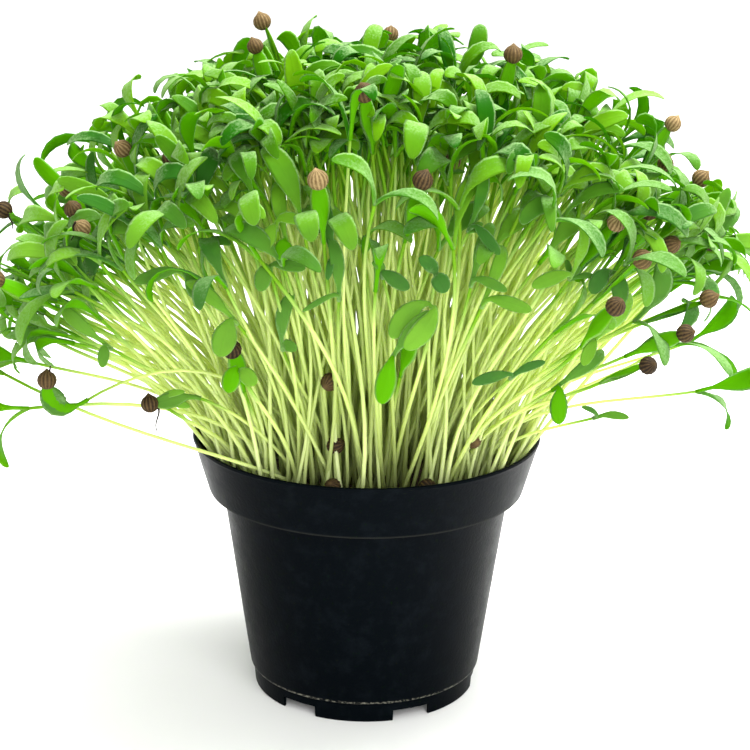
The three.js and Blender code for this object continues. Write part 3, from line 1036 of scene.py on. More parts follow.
@dataclass
class Sowing:
    """The rule that gives every seedling its place, stem and leaves.

    Lengths are in millimetres and angles in degrees, apart from foot_turn, back_twist and
    back_bend, which are in radians. foot_lean with its scatter and tip_lean are factors of a
    stem's own lean, azimuth_scatter is a factor of tuft_spread, and the strays of a stem are
    shares of its length.
    """

    pot: Pot
    medium: GrowingMedium
    infill: Infill = field(default_factory=Infill)

    # Tufts and feet
    tufts: int = 42
    tuft_radius: float = 34.2
    per_tuft: int = 3
    tuft_spread: float = 9.0
    tuft_fan: float = 0.11
    share_scatter: float = 0.18
    azimuth_scatter: float = 1.6
    root_above: float = 0.6
    foot_sink: float = 1.0
    foot_share: float = 0.55
    foot_most: float = 33.0
    foot_turn: float = 0.3

    # Attempts at a clear place
    tries: int = 300
    few_tries: int = 60
    clearance: float = 3.1
    fine_stem: float = 0.5
    reach_across: float = 101.0
    reach_deep: float = 73.0

    # Stems
    stem_circle: float = 1.3
    stem_sink: float = 1.6
    stem_steps: int = 36
    start_share: float = 0.4
    end_share: float = 0.36
    foot_lean: float = 0.1
    foot_lean_scatter: float = 0.4
    tip_lean: float = 1.3
    tip_lean_scatter: float = 24.0
    foot_stray: float = 0.1
    tip_stray: float = 0.16
    hanging_lean: float = 50.0
    husk_lean: float = 45.0

    # Leaves
    shortest: float = 17.0
    longest: float = 23.0
    narrowest: float = 2.5
    widest: float = 3.4
    petiole_half_width: float = 0.8
    tip_half_width: float = 0.4
    petiole_share: float = 0.16
    leaf_sink: float = 1.2
    leaf_steps: int = 20
    turn_scatter: float = 40.0
    least_opening: float = 10.0
    more_opening: float = 20.0
    least_hang: float = 80.0
    more_hang: float = 80.0
    twist: float = 50.0
    capped_droop: float = 0.1
    back_twist: float = 0.3
    back_bend: tuple[float, float] = (0.2, 1.6)

    # Husks
    husk_radius: float = 2.3
    husk_lift: float = 0.8
    husk_every: int = 14
    husk_first: int = 3
    husk_above: float = 14.0
    husk_steps: int = 4

    # The crown's dome
    dome_radius: float = 89.0
    equator: float = 86.0
    rise: float = 74.0
    radius_power: float = 0.85
    height_power: float = 0.8
    opening_power: float = 2.5
    side_opening: float = 90.0
    front_opening: float = 42.0
    back_opening: float = 44.0
    innermost: float = 0.02
    outermost: float = 1.03
    deepest: float = 26.0

    # Seedlings whose crown and habit are given, by their number
    strays: dict[int, tuple[tuple[float, float, float], Habit]] = field(
        default_factory=lambda: {
            12: ((-24, 2, 153), Habit.CAPPED),
            109: ((-9, -41, 146), Habit.OPEN),
            125: ((-84, -26, 82), Habit.OPEN),
            118: ((82, -24, 88), Habit.OPEN),
        }
    )

    def place(self, tuft: int) -> tuple[float, float, float, float]:
        """Return a tuft's share of the way out, its azimuth, and its x and y on the sunflower spiral."""
        share = math.sqrt((tuft + 0.5) / self.tufts)
        azimuth = tuft * GOLDEN_ANGLE
        radius = share * self.tuft_radius
        return share, azimuth, radius * math.cos(azimuth), radius * math.sin(azimuth)

    def dome_point(self, share: float, azimuth: float, below: float) -> np.ndarray:
        """Return the point of the domed crown where a stem ends.

        Args:
            share: how far out the plant is, from 0 to about 1.
            azimuth: the direction that the plant leans to.
            below: how far under the dome's top surface the stem ends.

        Returns:
            The point, in millimetres.
        """
        across = abs(math.cos(azimuth)) ** self.opening_power
        end = self.front_opening if math.sin(azimuth) < 0 else self.back_opening
        tilt = share * math.radians(self.side_opening * across + end * (1 - across))
        radius = (self.dome_radius - 0.3 * below) * math.sin(tilt) ** self.radius_power
        upright = math.copysign(abs(math.cos(tilt)) ** self.height_power, math.cos(tilt))
        height = self.equator + (self.rise - below) * upright
        return np.array([radius * math.cos(azimuth), radius * math.sin(azimuth), height])

    def stem(
        self, base: np.ndarray, crown: np.ndarray, draw: Draws, most_lean: float, sway: float
    ) -> np.ndarray:
        """Return a stem's curve, which leaves the compost nearly upright and leans out to its crown.

        Args:
            base: where the stem starts.
            crown: where it ends.
            draw: the plant's stream of numbers.
            most_lean: the most that the stem leans at its foot, in degrees.
            sway: how far it strays sideways, as a share of the usual.

        Returns:
            The curve's four control points.
        """
        chord = crown - base
        length = float(np.linalg.norm(chord))
        heading = unit(np.array([chord[0], chord[1], 0.0]))
        side = np.array([-heading[1], heading[0], 0.0])
        lean = math.acos(min(max(chord[2] / length, -1), 1))
        start = min(lean * (self.foot_lean + self.foot_lean_scatter * sway * draw()), math.radians(most_lean))
        end = lean * self.tip_lean + math.radians(self.tip_lean_scatter) * (draw() - 0.5)
        leave = base + self.start_share * length * (heading * math.sin(start) + UP * math.cos(start))
        arrive = crown - self.end_share * length * (heading * math.sin(end) + UP * math.cos(end))
        leave = leave + side * (self.foot_stray * length * sway**2 * (draw() - 0.5))
        arrive = arrive + side * (self.tip_stray * length * sway * (draw() - 0.5))
        return np.array([base, leave, arrive, crown])

    def half_widths(self, shares: np.ndarray, half_width: float) -> np.ndarray:
        """Return half of a leaf's width at shares of its length: a thin petiole, then a rounded blade."""
        q = np.clip((shares - self.petiole_share) / (1 - self.petiole_share), 0, 1)
        swell = np.sin(math.pi / 2 * np.minimum(1, q / 0.6)) ** 1.3
        blade = half_width * swell * np.maximum(0, 1 - q**4) ** 0.7
        return np.maximum(np.where(shares < 0.6, self.petiole_half_width, self.tip_half_width), blade)

    def leaf(
        self,
        crown: np.ndarray,
        tip: np.ndarray,
        outwards: np.ndarray,
        length: float,
        half_width: float,
        droop: float,
        twist: float,
        bend: Callable[[np.ndarray], np.ndarray],
    ) -> LeafPath:
        """Return a leaf's path from its stem's tip.

        Args:
            crown: where the stem ends.
            tip: the stem's direction there.
            outwards: the direction, square to the stem, that the leaf opens to.
            length: the leaf's length.
            half_width: half of its greatest width.
            droop: how far its own weight pulls it down.
            twist: how far it turns about its midrib.
            bend: the angle between leaf and stem at each share of its length.

        Returns:
            The path.
        """
        shares = np.arange(self.leaf_steps + 1) / self.leaf_steps
        angle = bend(shares)[:, None]
        along = unit(tip * np.cos(angle) + outwards * np.sin(angle) - UP * (droop * shares)[:, None])
        upper = tip * np.sin(angle) - outwards * np.cos(angle)
        upper = unit(upper - along * np.sum(upper * along, axis=1, keepdims=True))
        turn = (twist * shares)[:, None]
        upper = upper * np.cos(turn) + np.cross(along, upper) * np.sin(turn)
        steps = np.cumsum(along[:-1], axis=0) * (length / self.leaf_steps)
        start = crown - tip * self.leaf_sink
        return LeafPath(np.vstack([start, start + steps]), upper, np.cross(upper, along), half_width)

    def grow(
        self,
        draw: Draws,
        base: np.ndarray,
        crown: np.ndarray,
        habit: Habit,
        tuft: int,
        most_lean: float = 20.0,
        sway: float = 1.0,
    ) -> Seedling:
        """Grow one seedling between its base and its crown.

        Args:
            draw: the plant's stream of numbers.
            base: where its stem starts.
            crown: where its stem ends.
            habit: how it holds its leaves.
            tuft: the tuft that it belongs to.
            most_lean: the most that its stem leans at the foot, in degrees.
            sway: how far its stem strays sideways, as a share of the usual.

        Returns:
            The seedling.
        """
        return self.dressed(self.stem(base, crown, draw, most_lean, sway), draw, habit, tuft)

    def dressed(self, curve: np.ndarray, draw: Draws, habit: Habit, tuft: int) -> Seedling:
        """Put leaves, and a husk where the habit has one, on a stem.

        Args:
            curve: the stem's curve.
            draw: the plant's stream of numbers.
            habit: how it holds its leaves.
            tuft: the tuft that it belongs to.

        Returns:
            The seedling.
        """
        crown = curve[3]
        tip = curve_headings(curve, np.array([1.0]))[0]
        first = 2 * math.pi * draw()
        capped = habit is Habit.CAPPED
        carried = LOOSE if habit is Habit.LOOSE else STEADY
        leaves = []
        for half in (0.0, math.pi):
            turn = first + half + (0.0 if capped else math.radians(self.turn_scatter) * (draw() - 0.5))
            outwards = around_tip(tip, turn)
            length = self.shortest + (self.longest - self.shortest) * draw()
            half_width = self.narrowest + (self.widest - self.narrowest) * draw()
            start = math.radians(self.least_opening + self.more_opening * draw())
            end = math.radians(self.least_hang + self.more_hang * draw())
            twist = carried.twist * (math.radians(self.twist) * (draw() - 0.5))
            start, end = carried.start[0] * start + carried.start[1], carried.end[0] * end + carried.end[1]
            size = (length, half_width * carried.width, carried.droop, twist)
            bend = opening_bend(start, end, carried.curl)
            if capped:
                size, bend = (self.shortest, self.narrowest, self.capped_droop, 0.0), closed_bend
            leaves.append(self.leaf(crown, tip, outwards, *size, bend))
        husk = leaves[0].points[-1] + tip * self.husk_lift if capped else None
        return Seedling(curve, leaves, husk, tip, tuft)

    def of_tuft(self, index: int, attempt: int) -> Seedling:
        """Return a tuft's seedling by its number and attempt."""
        draw = Draws(index * self.tries + attempt)
        tuft = index // self.per_tuft
        share_out, azimuth_out, x, y = self.place(tuft)
        turn = azimuth_out + 2 * math.pi * (index % self.per_tuft) / self.per_tuft
        foot = self.medium.top + self.root_above - self.stem_sink
        base = np.array([x + self.stem_circle * math.cos(turn), y + self.stem_circle * math.sin(turn), foot])
        share = share_out + self.tuft_fan * math.cos(turn - azimuth_out)
        share = share + self.share_scatter * (draw() - 0.5)
        spread = math.radians(self.tuft_spread) / max(0.3, share_out)
        scatter = self.azimuth_scatter * (draw() - 0.5)
        azimuth = azimuth_out + spread * (math.sin(turn - azimuth_out) + scatter)
        share = min(max(share, self.innermost), self.outermost)
        crown = self.dome_point(share, azimuth, self.deepest * draw() ** 2)
        habit = Habit.CAPPED if index % self.husk_every == self.husk_first else Habit.OPEN
        if index in self.strays:
            point, habit = self.strays[index]
            crown = np.array(point, float)
        return self.grow(draw, base, crown, habit, tuft)

    def markers_of(self, one: Seedling) -> np.ndarray:
        """Return points spread over a seedling, which its neighbours keep clear of."""
        rows = [curve_points(one.curve, np.arange(2, self.stem_steps + 1) / self.stem_steps)]
        steps = np.arange(2, self.leaf_steps + 1, 2)
        for leaf in one.leaves:
            reach = self.half_widths(steps / self.leaf_steps, leaf.half_width)[:, None]
            for edge in (-1, 0, 1):
                rows.append(leaf.points[steps] + leaf.side[steps] * reach * edge)
        if one.husk is not None:
            axes = np.vstack([np.eye(3), -np.eye(3)])
            rows.append(one.husk + axes * self.husk_radius)
        return np.vstack(rows)

    def clears_pot(self, curve: np.ndarray, radius: float = 0.9) -> bool:
        """Tell whether a stem of some radius passes over the rim and inside the wall."""
        room = radius + self.medium.gap
        points = curve_points(curve, np.arange(self.stem_steps + 1) / self.stem_steps)
        for x, y, z in points[points[:, 2] < self.pot.height + room].tolist():
            if math.hypot(x, y) > self.pot.inner_radius(min(z, self.pot.height)) - room:
                return False
        return True

    def within_reach(self, markers: np.ndarray) -> bool:
        """Tell whether a seedling stays inside the crown's reach."""
        far = np.abs(markers).max(axis=0)
        return bool(far[0] < self.reach_across and far[1] < self.reach_deep)

    def least_gap(self, one: Seedling, placed: list[Seedling], enough: float) -> float:
        """Return the least distance to the seedlings placed so far.

        Args:
            one: the seedling; the other stems of its tuft share its root and are met only further up.
            placed: the seedlings that stand already.
            enough: a distance that is already beaten, so that a lesser one need not be exact.

        Returns:
            The distance in millimetres, or infinity where nothing is near.
        """
        if not placed:
            return math.inf
        lows = np.array([other.low for other in placed])
        highs = np.array([other.high for other in placed])
        near = np.all((highs >= one.low - self.clearance) & (lows <= one.high + self.clearance), axis=1)
        least = math.inf
        for number in np.nonzero(near)[0]:
            other = placed[number]
            start = self.stem_steps // 2 if other.tuft == one.tuft else 0
            mine, theirs = one.markers[start:], other.markers[start:]
            squares = (mine**2).sum(axis=1)[:, None] + (theirs**2).sum(axis=1) - 2 * mine @ theirs.T
            least = min(least, float(squares.min()))
            if least < enough**2:
                break
        return math.sqrt(max(least, 0))

    def tuft_seedlings(self) -> list[Seedling]:
        """Sow the tufts' seedlings, the strays first, each at its first attempt that is clear of the rest."""
        rest = [i for i in range(self.tufts * self.per_tuft) if i not in self.strays]
        placed: list[Seedling] = []
        for index in [*self.strays, *rest]:
            best: Seedling | None = None
            for attempt in range(self.tries):
                one = self.of_tuft(index, attempt)
                one.mark(self.markers_of(one))
                if not self.clears_pot(one.curve) or not self.within_reach(one.markers):
                    continue
                one.gap = self.least_gap(one, placed, best.gap if best else 0.0)
                if best is None or one.gap > best.gap:
                    best = one
                if one.gap > self.clearance:
                    break
            placed.append(best)
        return placed

    def nearest_tuft(self, spot: np.ndarray) -> int:
        """Return the number of the tuft that stands nearest to a spot on the compost."""
        spots = np.array([self.place(tuft)[2:] for tuft in range(self.tufts)])
        return int(np.argmin(np.linalg.norm(spots - spot[:2], axis=1)))

    def between(self) -> list[Seedling]:
        """Sow more seedlings between the tufts, on a spiral of their own."""
        fill = self.infill
        sown = []
        for index in range(fill.count):
            share_out = math.sqrt((index + 0.5) / fill.count)
            azimuth_out = fill.first_turn + index * GOLDEN_ANGLE
            in_band = index % 2 and fill.band[0] < share_out < fill.band[1]
            for attempt in range(self.tries):
                draw = Draws(Stream.BETWEEN + index * self.tries + attempt)
                out = share_out * fill.radius + fill.foot_scatter * (draw() - 0.5)
                base = self.foot(out, azimuth_out)
                scatter = math.radians(fill.turn_scatter) / max(0.4, share_out) * (draw() - 0.5)
                azimuth = azimuth_out + scatter
                front = max(0.0, -math.sin(azimuth)) ** 2
                right = max(0.0, math.cos(azimuth)) ** 4
                left = max(0.0, -math.cos(azimuth)) ** 4
                most = self.outermost - fill.front_in * front - fill.right_in * right
                share = min(max(share_out + fill.share_scatter * (draw() - 0.5), self.innermost), most)
                if left + right > fill.sides_from and in_band:
                    share *= fill.band_in
                below = self.deepest * draw() ** 2 * (1 - fill.front_level * front)
                crown = self.dome_point(share, azimuth, below + fill.left_drop * left * share)
                lean = fill.least_lean + fill.more_lean * draw()
                one = self.grow(draw, base, crown, Habit.LOOSE, self.nearest_tuft(base), lean, fill.sway)
                off_bare = math.hypot(base[0] - fill.bare_spot[0], base[1] - fill.bare_spot[1])
                clear = off_bare >= fill.bare_radius and self.clears_pot(one.curve, self.fine_stem)
                if clear and self.within_reach(self.markers_of(one)):
                    sown.append(one)
                    break
        return sown

    def trailing(self, curves: tuple[tuple[tuple[float, float, float], ...], ...]) -> list[Seedling]:
        """Sow seedlings whose stems follow given curves."""
        sown = []
        for index, points in enumerate(curves):
            curve = np.array(points, float)
            tuft = self.nearest_tuft(curve[0])
            sown.append(self.dressed(curve, Draws(Stream.TRAILING + index), Habit.LOOSE, tuft))
        return sown

    def foot(self, out: float, azimuth: float) -> np.ndarray:
        """Return a stem's foot in the compost, from how far out and which way it is."""
        return np.array([out * math.cos(azimuth), out * math.sin(azimuth), self.medium.top - self.foot_sink])

    def foot_towards(self, target: np.ndarray, draw: Draws) -> np.ndarray:
        """Return a foot in the compost for a seedling that leans towards a point."""
        out = min(self.foot_share * math.hypot(target[0], target[1]), self.foot_most) * (0.9 + 0.2 * draw())
        return self.foot(out, math.atan2(target[1], target[0]) + self.foot_turn * (draw() - 0.5))

    def placed_leaf(self, crown: np.ndarray, tip: np.ndarray, blade: Blade) -> LeafPath:
        """Return a leaf's path from its stem's tip over to a blade that is given.

        Args:
            crown: where the stem ends.
            tip: the stem's direction there.
            blade: where the blade starts and ends.

        Returns:
            The path.
        """
        root, end = np.array(blade.root), np.array(blade.tip)
        length = float(np.linalg.norm(end - root))
        leaves_stem = [crown - tip * self.leaf_sink, crown + tip * 0.3 * length]
        fine = curve_points(np.array([*leaves_stem, root + (end - root) * 0.2, end]), np.arange(61) / 60)
        run = np.concatenate([[0.0], np.cumsum(np.linalg.norm(np.diff(fine, axis=0), axis=1))])
        even = np.arange(self.leaf_steps + 1) / self.leaf_steps * run[-1]
        points = np.column_stack([np.interp(even, run, fine[:, axis]) for axis in range(3)])
        along = unit(np.gradient(points, axis=0))
        front = FORWARD_AND_UP * (1 if blade.shows_upper else -1)
        upper = unit(front - along * (along @ front)[:, None])
        return LeafPath(points, upper, np.cross(upper, along), blade.half_width)

    def hanging(self, plants: tuple[tuple[Blade, ...], ...]) -> list[Seedling]:
        """Sow seedlings that hold their leaves low over the bare stems.

        Args:
            plants: the one or two blades of each; a second leaf that is not given stays behind the stem.

        Returns:
            The seedlings.
        """
        sown = []
        for index, blades in enumerate(plants):
            crown = np.array([blade.root for blade in blades]).mean(axis=0) + BEHIND_BLADES
            for attempt in range(self.few_tries):
                draw = Draws(Stream.HANGING + index * self.few_tries + attempt)
                base = self.foot_towards(crown, draw)
                curve = self.stem(base, crown, draw, self.hanging_lean, 1.0)
                if self.clears_pot(curve, self.fine_stem):
                    break
            tip = curve_headings(curve, np.array([1.0]))[0]
            leaves = [self.placed_leaf(crown, tip, blade) for blade in blades]
            if len(leaves) == 1:
                behind = unit(np.array([draw() - 0.5, 1.0, 0.0]))
                back = unit(behind - tip * float(tip @ behind))
                bend = opening_bend(*self.back_bend, LOOSE.curl)
                size = (self.shortest, LOOSE.width * self.narrowest, LOOSE.droop, self.back_twist)
                leaves.append(self.leaf(crown, tip, back, *size, bend))
            sown.append(Seedling(curve, leaves, None, tip, self.nearest_tuft(base)))
        return sown

    def holding_low(self, plants: tuple[tuple, ...]) -> list[Seedling]:
        """Sow seedlings whose stem, folded leaves and husk are given.

        Args:
            plants: for each, its stem's curve, its blades and its husk's centre.

        Returns:
            The seedlings.
        """
        sown = []
        for stem, blades, husk in plants:
            curve = np.array(stem, float)
            tip = curve_headings(curve, np.array([1.0]))[0]
            leaves = [self.placed_leaf(curve[3], tip, blade) for blade in blades]
            sown.append(Seedling(curve, leaves, np.array(husk), UP, self.nearest_tuft(curve[0])))
        return sown

    def holding_husks(self, husks: tuple[tuple[float, float, float], ...]) -> list[Seedling]:
        """Sow seedlings that hold their husks at given points.

        Args:
            husks: the husks' centres.

        Returns:
            One seedling for each husk that a stem can reach.
        """
        sown = []
        for index, centre in enumerate(husks):
            target = np.array(centre, float)
            for attempt in range(self.few_tries):
                crown = target - UP * self.husk_above
                for _ in range(self.husk_steps):
                    draw = Draws(Stream.HUSKS + index * self.few_tries + attempt)
                    base = self.foot_towards(target, draw)
                    one = self.grow(draw, base, crown, Habit.CAPPED, self.nearest_tuft(base), self.husk_lean)
                    crown = crown + target - one.husk
                if self.clears_pot(one.curve, self.fine_stem):
                    sown.append(one)
                    break
        return sown


def around_tip(tip: np.ndarray, turn: float) -> np.ndarray:
    """Return a direction square to a stem's tip, at a turn about it."""
    level = unit(np.cross(tip, UP))
    return level * math.cos(turn) + np.cross(level, tip) * math.sin(turn)


def closed_bend(shares: np.ndarray) -> np.ndarray:
    """Bend a capped leaf out from its stem and back to the husk."""
    return math.radians(30) * np.cos(math.pi * shares)


def opening_bend(start: float, end: float, curl: float) -> Callable[[np.ndarray], np.ndarray]:
    """Return the bend of an open leaf, from its angle at the stem to that at its tip."""
    return lambda shares: start + (end - start) * shares**curl


# Plants

# The seedlings that hang low in front, by their blades.
LOW_SEEDLINGS = (
    (Blade((5.7, -59.0, 107.4), (3.5, -61.0, 95.3), 2.8, False),),
    (
        Blade((11.0, -56.0, 121.0), (5.7, -59.0, 110.2), 2.9, True),
        Blade((19.0, -60.0, 116.9), (8.5, -64.0, 109.3), 2.9, True),
    ),
    (
        Blade((16.1, -60.0, 127.0), (11.4, -62.0, 129.6), 1.9, True),
        Blade((14.7, -60.0, 126.6), (17.6, -62.0, 121.8), 2.4, True),
    ),
    (
        Blade((1.8, -60.0, 126.7), (9.4, -61.0, 122.3), 2.0, True),
        Blade((4.7, -60.0, 127.6), (1.0, -60.0, 127.9), 1.2, True),
    ),
    (Blade((23.6, -56.0, 124.6), (31.4, -58.0, 121.3), 1.4, True),),
    (Blade((26.4, -55.0, 119.4), (37.1, -58.0, 116.8), 1.9, True),),
    (Blade((46.5, -52.0, 125.2), (37.2, -55.0, 121.6), 2.0, True),),
    (
        Blade((33.8, -49.0, 100.4), (24.5, -50.0, 97.1), 1.6, True),
        Blade((34.2, -49.0, 100.4), (41.3, -50.0, 102.5), 1.2, True),
    ),
    (Blade((44.5, -46.0, 96.9), (45.2, -48.0, 86.7), 2.5, False),),
    (
        Blade((-22.3, -57.0, 128.1), (-24.0, -59.0, 120.8), 2.3, True),
        Blade((-21.7, -57.0, 127.0), (-13.8, -59.0, 126.2), 1.6, True),
    ),
    (Blade((-30.1, -54.0, 114.4), (-33.6, -57.0, 104.9), 3.3, True),),
    (
        Blade((-29.8, -54.0, 103.5), (-31.7, -56.0, 96.0), 2.5, False),
        Blade((-28.9, -54.0, 101.6), (-25.3, -56.0, 97.9), 2.2, True),
    ),
    (Blade((-7.7, -57.0, 129.8), (-8.9, -59.0, 123.6), 1.0, True),),
    (Blade((-6.3, -56.0, 120.8), (-14.5, -58.0, 116.0), 0.8, True),),
    (Blade((-19.6, -50.0, 107.1), (-16.1, -51.0, 104.9), 1.6, True),),
    (Blade((-18.2, -57.0, 133.6), (-19.1, -59.0, 127.9), 2.5, False),),
    (
        Blade((-20.1, -58.0, 136.1), (-24.1, -60.0, 130.2), 2.3, True),
        Blade((-20.9, -58.0, 139.1), (-13.8, -59.0, 136.7), 1.6, True),
    ),
    (Blade((22.9, -57.0, 137.4), (29.4, -60.0, 130.1), 1.6, True),),
    (
        Blade((-42.1, -50.0, 124.4), (-53.0, -52.0, 120.8), 1.8, True),
        Blade((-41.0, -50.0, 123.2), (-37.5, -54.0, 116.9), 2.3, True),
    ),
    (Blade((-61.0, -42.0, 104.6), (-62.0, -44.0, 98.1), 1.6, True),),
    (
        Blade((-49.6, -36.0, 88.5), (-42.2, -37.0, 86.5), 1.2, True),
        Blade((-49.8, -36.0, 89.3), (-43.4, -37.0, 90.3), 1.0, True),
    ),
    (Blade((52.9, -46.0, 108.4), (50.3, -48.0, 101.1), 1.8, True),),
    (
        Blade((54.0, -50.0, 126.3), (51.0, -53.0, 119.6), 2.3, True),
        Blade((57.4, -50.0, 125.1), (57.7, -53.0, 116.9), 2.3, True),
    ),
    (
        Blade((56.6, -30.0, 84.4), (63.8, -31.0, 83.1), 1.2, True),
        Blade((56.1, -30.0, 84.9), (52.1, -31.0, 85.7), 0.8, True),
    ),
)

# The centres of the husks that seedlings between the tufts still hold.
HELD_HUSKS = (
    (-58, -28, 147),
    (-45, -44, 148),
    (-11, -63, 147),
    (-4, -42, 157),
    (-91, -5, 127),
    (-72, -26, 137),
    (-69, -36, 134),
    (-66, -43, 131),
    (-94, -5, 107),
    (12, -62, 147),
    (43, -20, 155),
    (53, -8, 153),
    (76, 5, 149),
    (73, -7, 141),
    (64, -34, 141),
    (83, 0, 136),
    (65, -40, 136),
    (56, -53, 136),
    (70, -44, 129),
    (83, -20, 124),
    (62, -55, 128),
    (55, -67, 120),
    (80, -40, 115),
    (73, -53, 110),
    (63, -66, 106),
    (12, -52, 108),
    (-31, -50, 103),
)

# The curves of the stems that have flopped over the rim.
FLOPPED_STEMS = (((-12, -26, 61), (-34, -42, 78), (-58, -26, 73.5), (-91, -19, 89.4)),)

# The curves of the stems that stand clear in front.
FRONT_STEMS = (
    ((0, -33, 61), (-2, -46, 92), (-8, -58, 108), (-25, -58, 129)),
    ((2, -34, 61), (-7, -46, 90), (-6, -60, 125), (-4, -57, 156)),
    ((-6, -32, 61), (-14, -40, 84), (-24, -50, 106), (-36, -52, 120)),
    ((5, -33, 61), (2, -44, 88), (1, -58, 112), (2, -58, 122)),
    ((8, -32, 61), (15, -42, 84), (22, -58, 110), (19, -58, 132)),
    ((19, -28, 61), (24, -38, 80), (32, -46, 96), (44, -49, 110)),
)

# The seedlings that hold a husk low at the left: each one's stem, its two folded leaves and its husk.
HUSK_SEEDLINGS = (
    (
        ((-10, -20, 61), (-26, -34, 104), (-52, -38, 98), (-67.3, -39.0, 88.0)),
        (
            Blade((-73.6, -42.0, 83.4), (-74.8, -47.0, 94.4), 3.4, False),
            Blade((-73.7, -40.0, 82.8), (-74.4, -45.0, 93.8), 3.4, True),
        ),
        (-74.7, -46.0, 95.5),
    ),
    (
        ((-14, -27, 61), (-20, -33, 74), (-28, -35, 84), (-40.8, -36.0, 88.7)),
        (
            Blade((-43.0, -38.0, 90.5), (-50.9, -36.0, 87.5), 2.2, True),
            Blade((-43.3, -36.0, 85.6), (-50.9, -36.0, 86.3), 1.8, False),
        ),
        (-51.9, -36.0, 86.8),
    ),
)

# The curves of the dry root threads that still cling to husks.
THREADS = (
    ((-74.4, -46.0, 96.8), (-73.7, -46.0, 97.7), (-74.1, -46.0, 98.5), (-73.4, -46.0, 99.7)),
    ((-50.2, -36.0, 86.3), (-48.8, -36.0, 84.3), (-51.3, -36.0, 82.7), (-50.4, -36.0, 80.0)),
    ((-67.0, -44.0, 132.9), (-68.7, -44.0, 131.5), (-66.6, -44.0, 130.5), (-68.3, -44.0, 128.6)),
    ((-65.4, -44.0, 132.4), (-65.2, -44.0, 130.8), (-67.3, -44.0, 130.5), (-67.8, -44.0, 129.6)),
    ((-89.1, -8.0, 126.8), (-89.6, -8.0, 125.5), (-87.6, -8.0, 125.1), (-88.5, -8.0, 123.0)),
)

# Where husks have dropped among the stems.
DROPPED_HUSKS = (
    (-7.4, -36.0, 76.9),
    (26.2, -30.0, 76.5),
    (-8.7, -40.0, 94.0),
    (-7.9, -39.0, 67.4),
    (15.0, -36.5, 66.5),
)


class MeshBuilder:
    """Gathers copies of modelled shapes into one mesh, with their attributes and materials."""

    def __init__(self) -> None:
        """Start with nothing gathered."""
        self.points: list[np.ndarray] = []
        self.faces: list[list[int]] = []
        self.finishes: list[int] = []
        self.flat: list[np.ndarray] = []
        self.values: dict[str, list[np.ndarray]] = {key: [] for key in POINT_ATTRIBUTES}
        self.count = 0

    def add(
        self,
        points: np.ndarray,
        faces: list[list[int]],
        values: dict[str, np.ndarray],
        finish: int = 0,
        flat: np.ndarray | None = None,
    ) -> None:
        """Add one copy.

        Args:
            points: its points, in millimetres.
            faces: its faces.
            values: its point attributes; what is left out is 0.
            finish: the number of its material.
            flat: its points' places on the flat, for the UV map.
        """
        self.points.append(points * MM)
        self.faces.extend([[i + self.count for i in face] for face in faces])
        self.finishes.extend([finish] * len(faces))
        for name, rows in self.values.items():
            rows.append(values.get(name, np.zeros(len(points))))
        self.flat.append(flat if flat is not None else np.zeros((len(points), 2)))
        self.count += len(points)

    def piece(self, name: str) -> bpy.types.Object:
        """Make the gathered copies one object.

        Args:
            name: the object's name.

        Returns:
            The object, smooth all over.
        """
        mesh = bpy.data.meshes.new(name)
        mesh.from_pydata(np.vstack(self.points).tolist(), [], self.faces)
        mesh.polygons.foreach_set("material_index", self.finishes)
        mesh.polygons.foreach_set("use_smooth", [True] * len(self.faces))
        for key, rows in self.values.items():
            attribute = mesh.attributes.new(key, "FLOAT", "POINT")
            attribute.data.foreach_set("value", np.concatenate(rows).astype(np.float32))
        corners = np.zeros(len(mesh.loops), dtype=np.int32)
        mesh.loops.foreach_get("vertex_index", corners)
        layer = mesh.uv_layers.new(name="blade")
        layer.data.foreach_set("uv", np.vstack(self.flat)[corners].astype(np.float32).ravel())
        mesh.update()
        made = bpy.data.objects.new(name, mesh)
        bpy.context.scene.collection.objects.link(made)
        return made


@dataclass(frozen=True)
class Crowding:
    """How dark the crowd makes a stem: low down inside the bunch, and again under the leaves.

    The bunch darkens within a short way of its edge, and stems that fan out wide catch more light.
    """

    edge_rise: float = 6.0
    own_most: float = 0.5
    own_rise: float = 1.4
    own_from: float = 0.7
    fan_reach: float = 60.0
    fan_light: float = 0.55
    low_fade: float = 1.35
    high_most: float = 0.5
    high_rise: float = 3.0
    high_from: float = 0.6
    high_band: float = 0.2

    def shade(self, curve: np.ndarray, share: np.ndarray, vigour: float, radius: float) -> np.ndarray:
        """Return how much each point of a stem is in shade, from 0 to 1.

        Args:
            curve: the stem's curve.
            share: each point's share of the way along it.
            vigour: the plant's own tone, from 0 to 1.
            radius: how far out the bunch of feet reaches.

        Returns:
            One value for each point.
        """
        inside = 1 - float(np.hypot(*curve[0][:2])) / radius
        spread = min(1.0, abs(float(curve[3][0])) / self.fan_reach)
        own = min(self.own_most, max(0.0, self.own_rise * (self.own_from - vigour)))
        low = min(1.0, self.edge_rise * max(inside, 0.0) + own) * (1 - self.fan_light * spread)
        high = self.high_most * min(1.0, self.high_rise * inside)
        fading = np.clip(1 - self.low_fade * share, 0, 1)
        return np.maximum(low * fading, high * np.clip((share - self.high_from) / self.high_band, 0, 1))


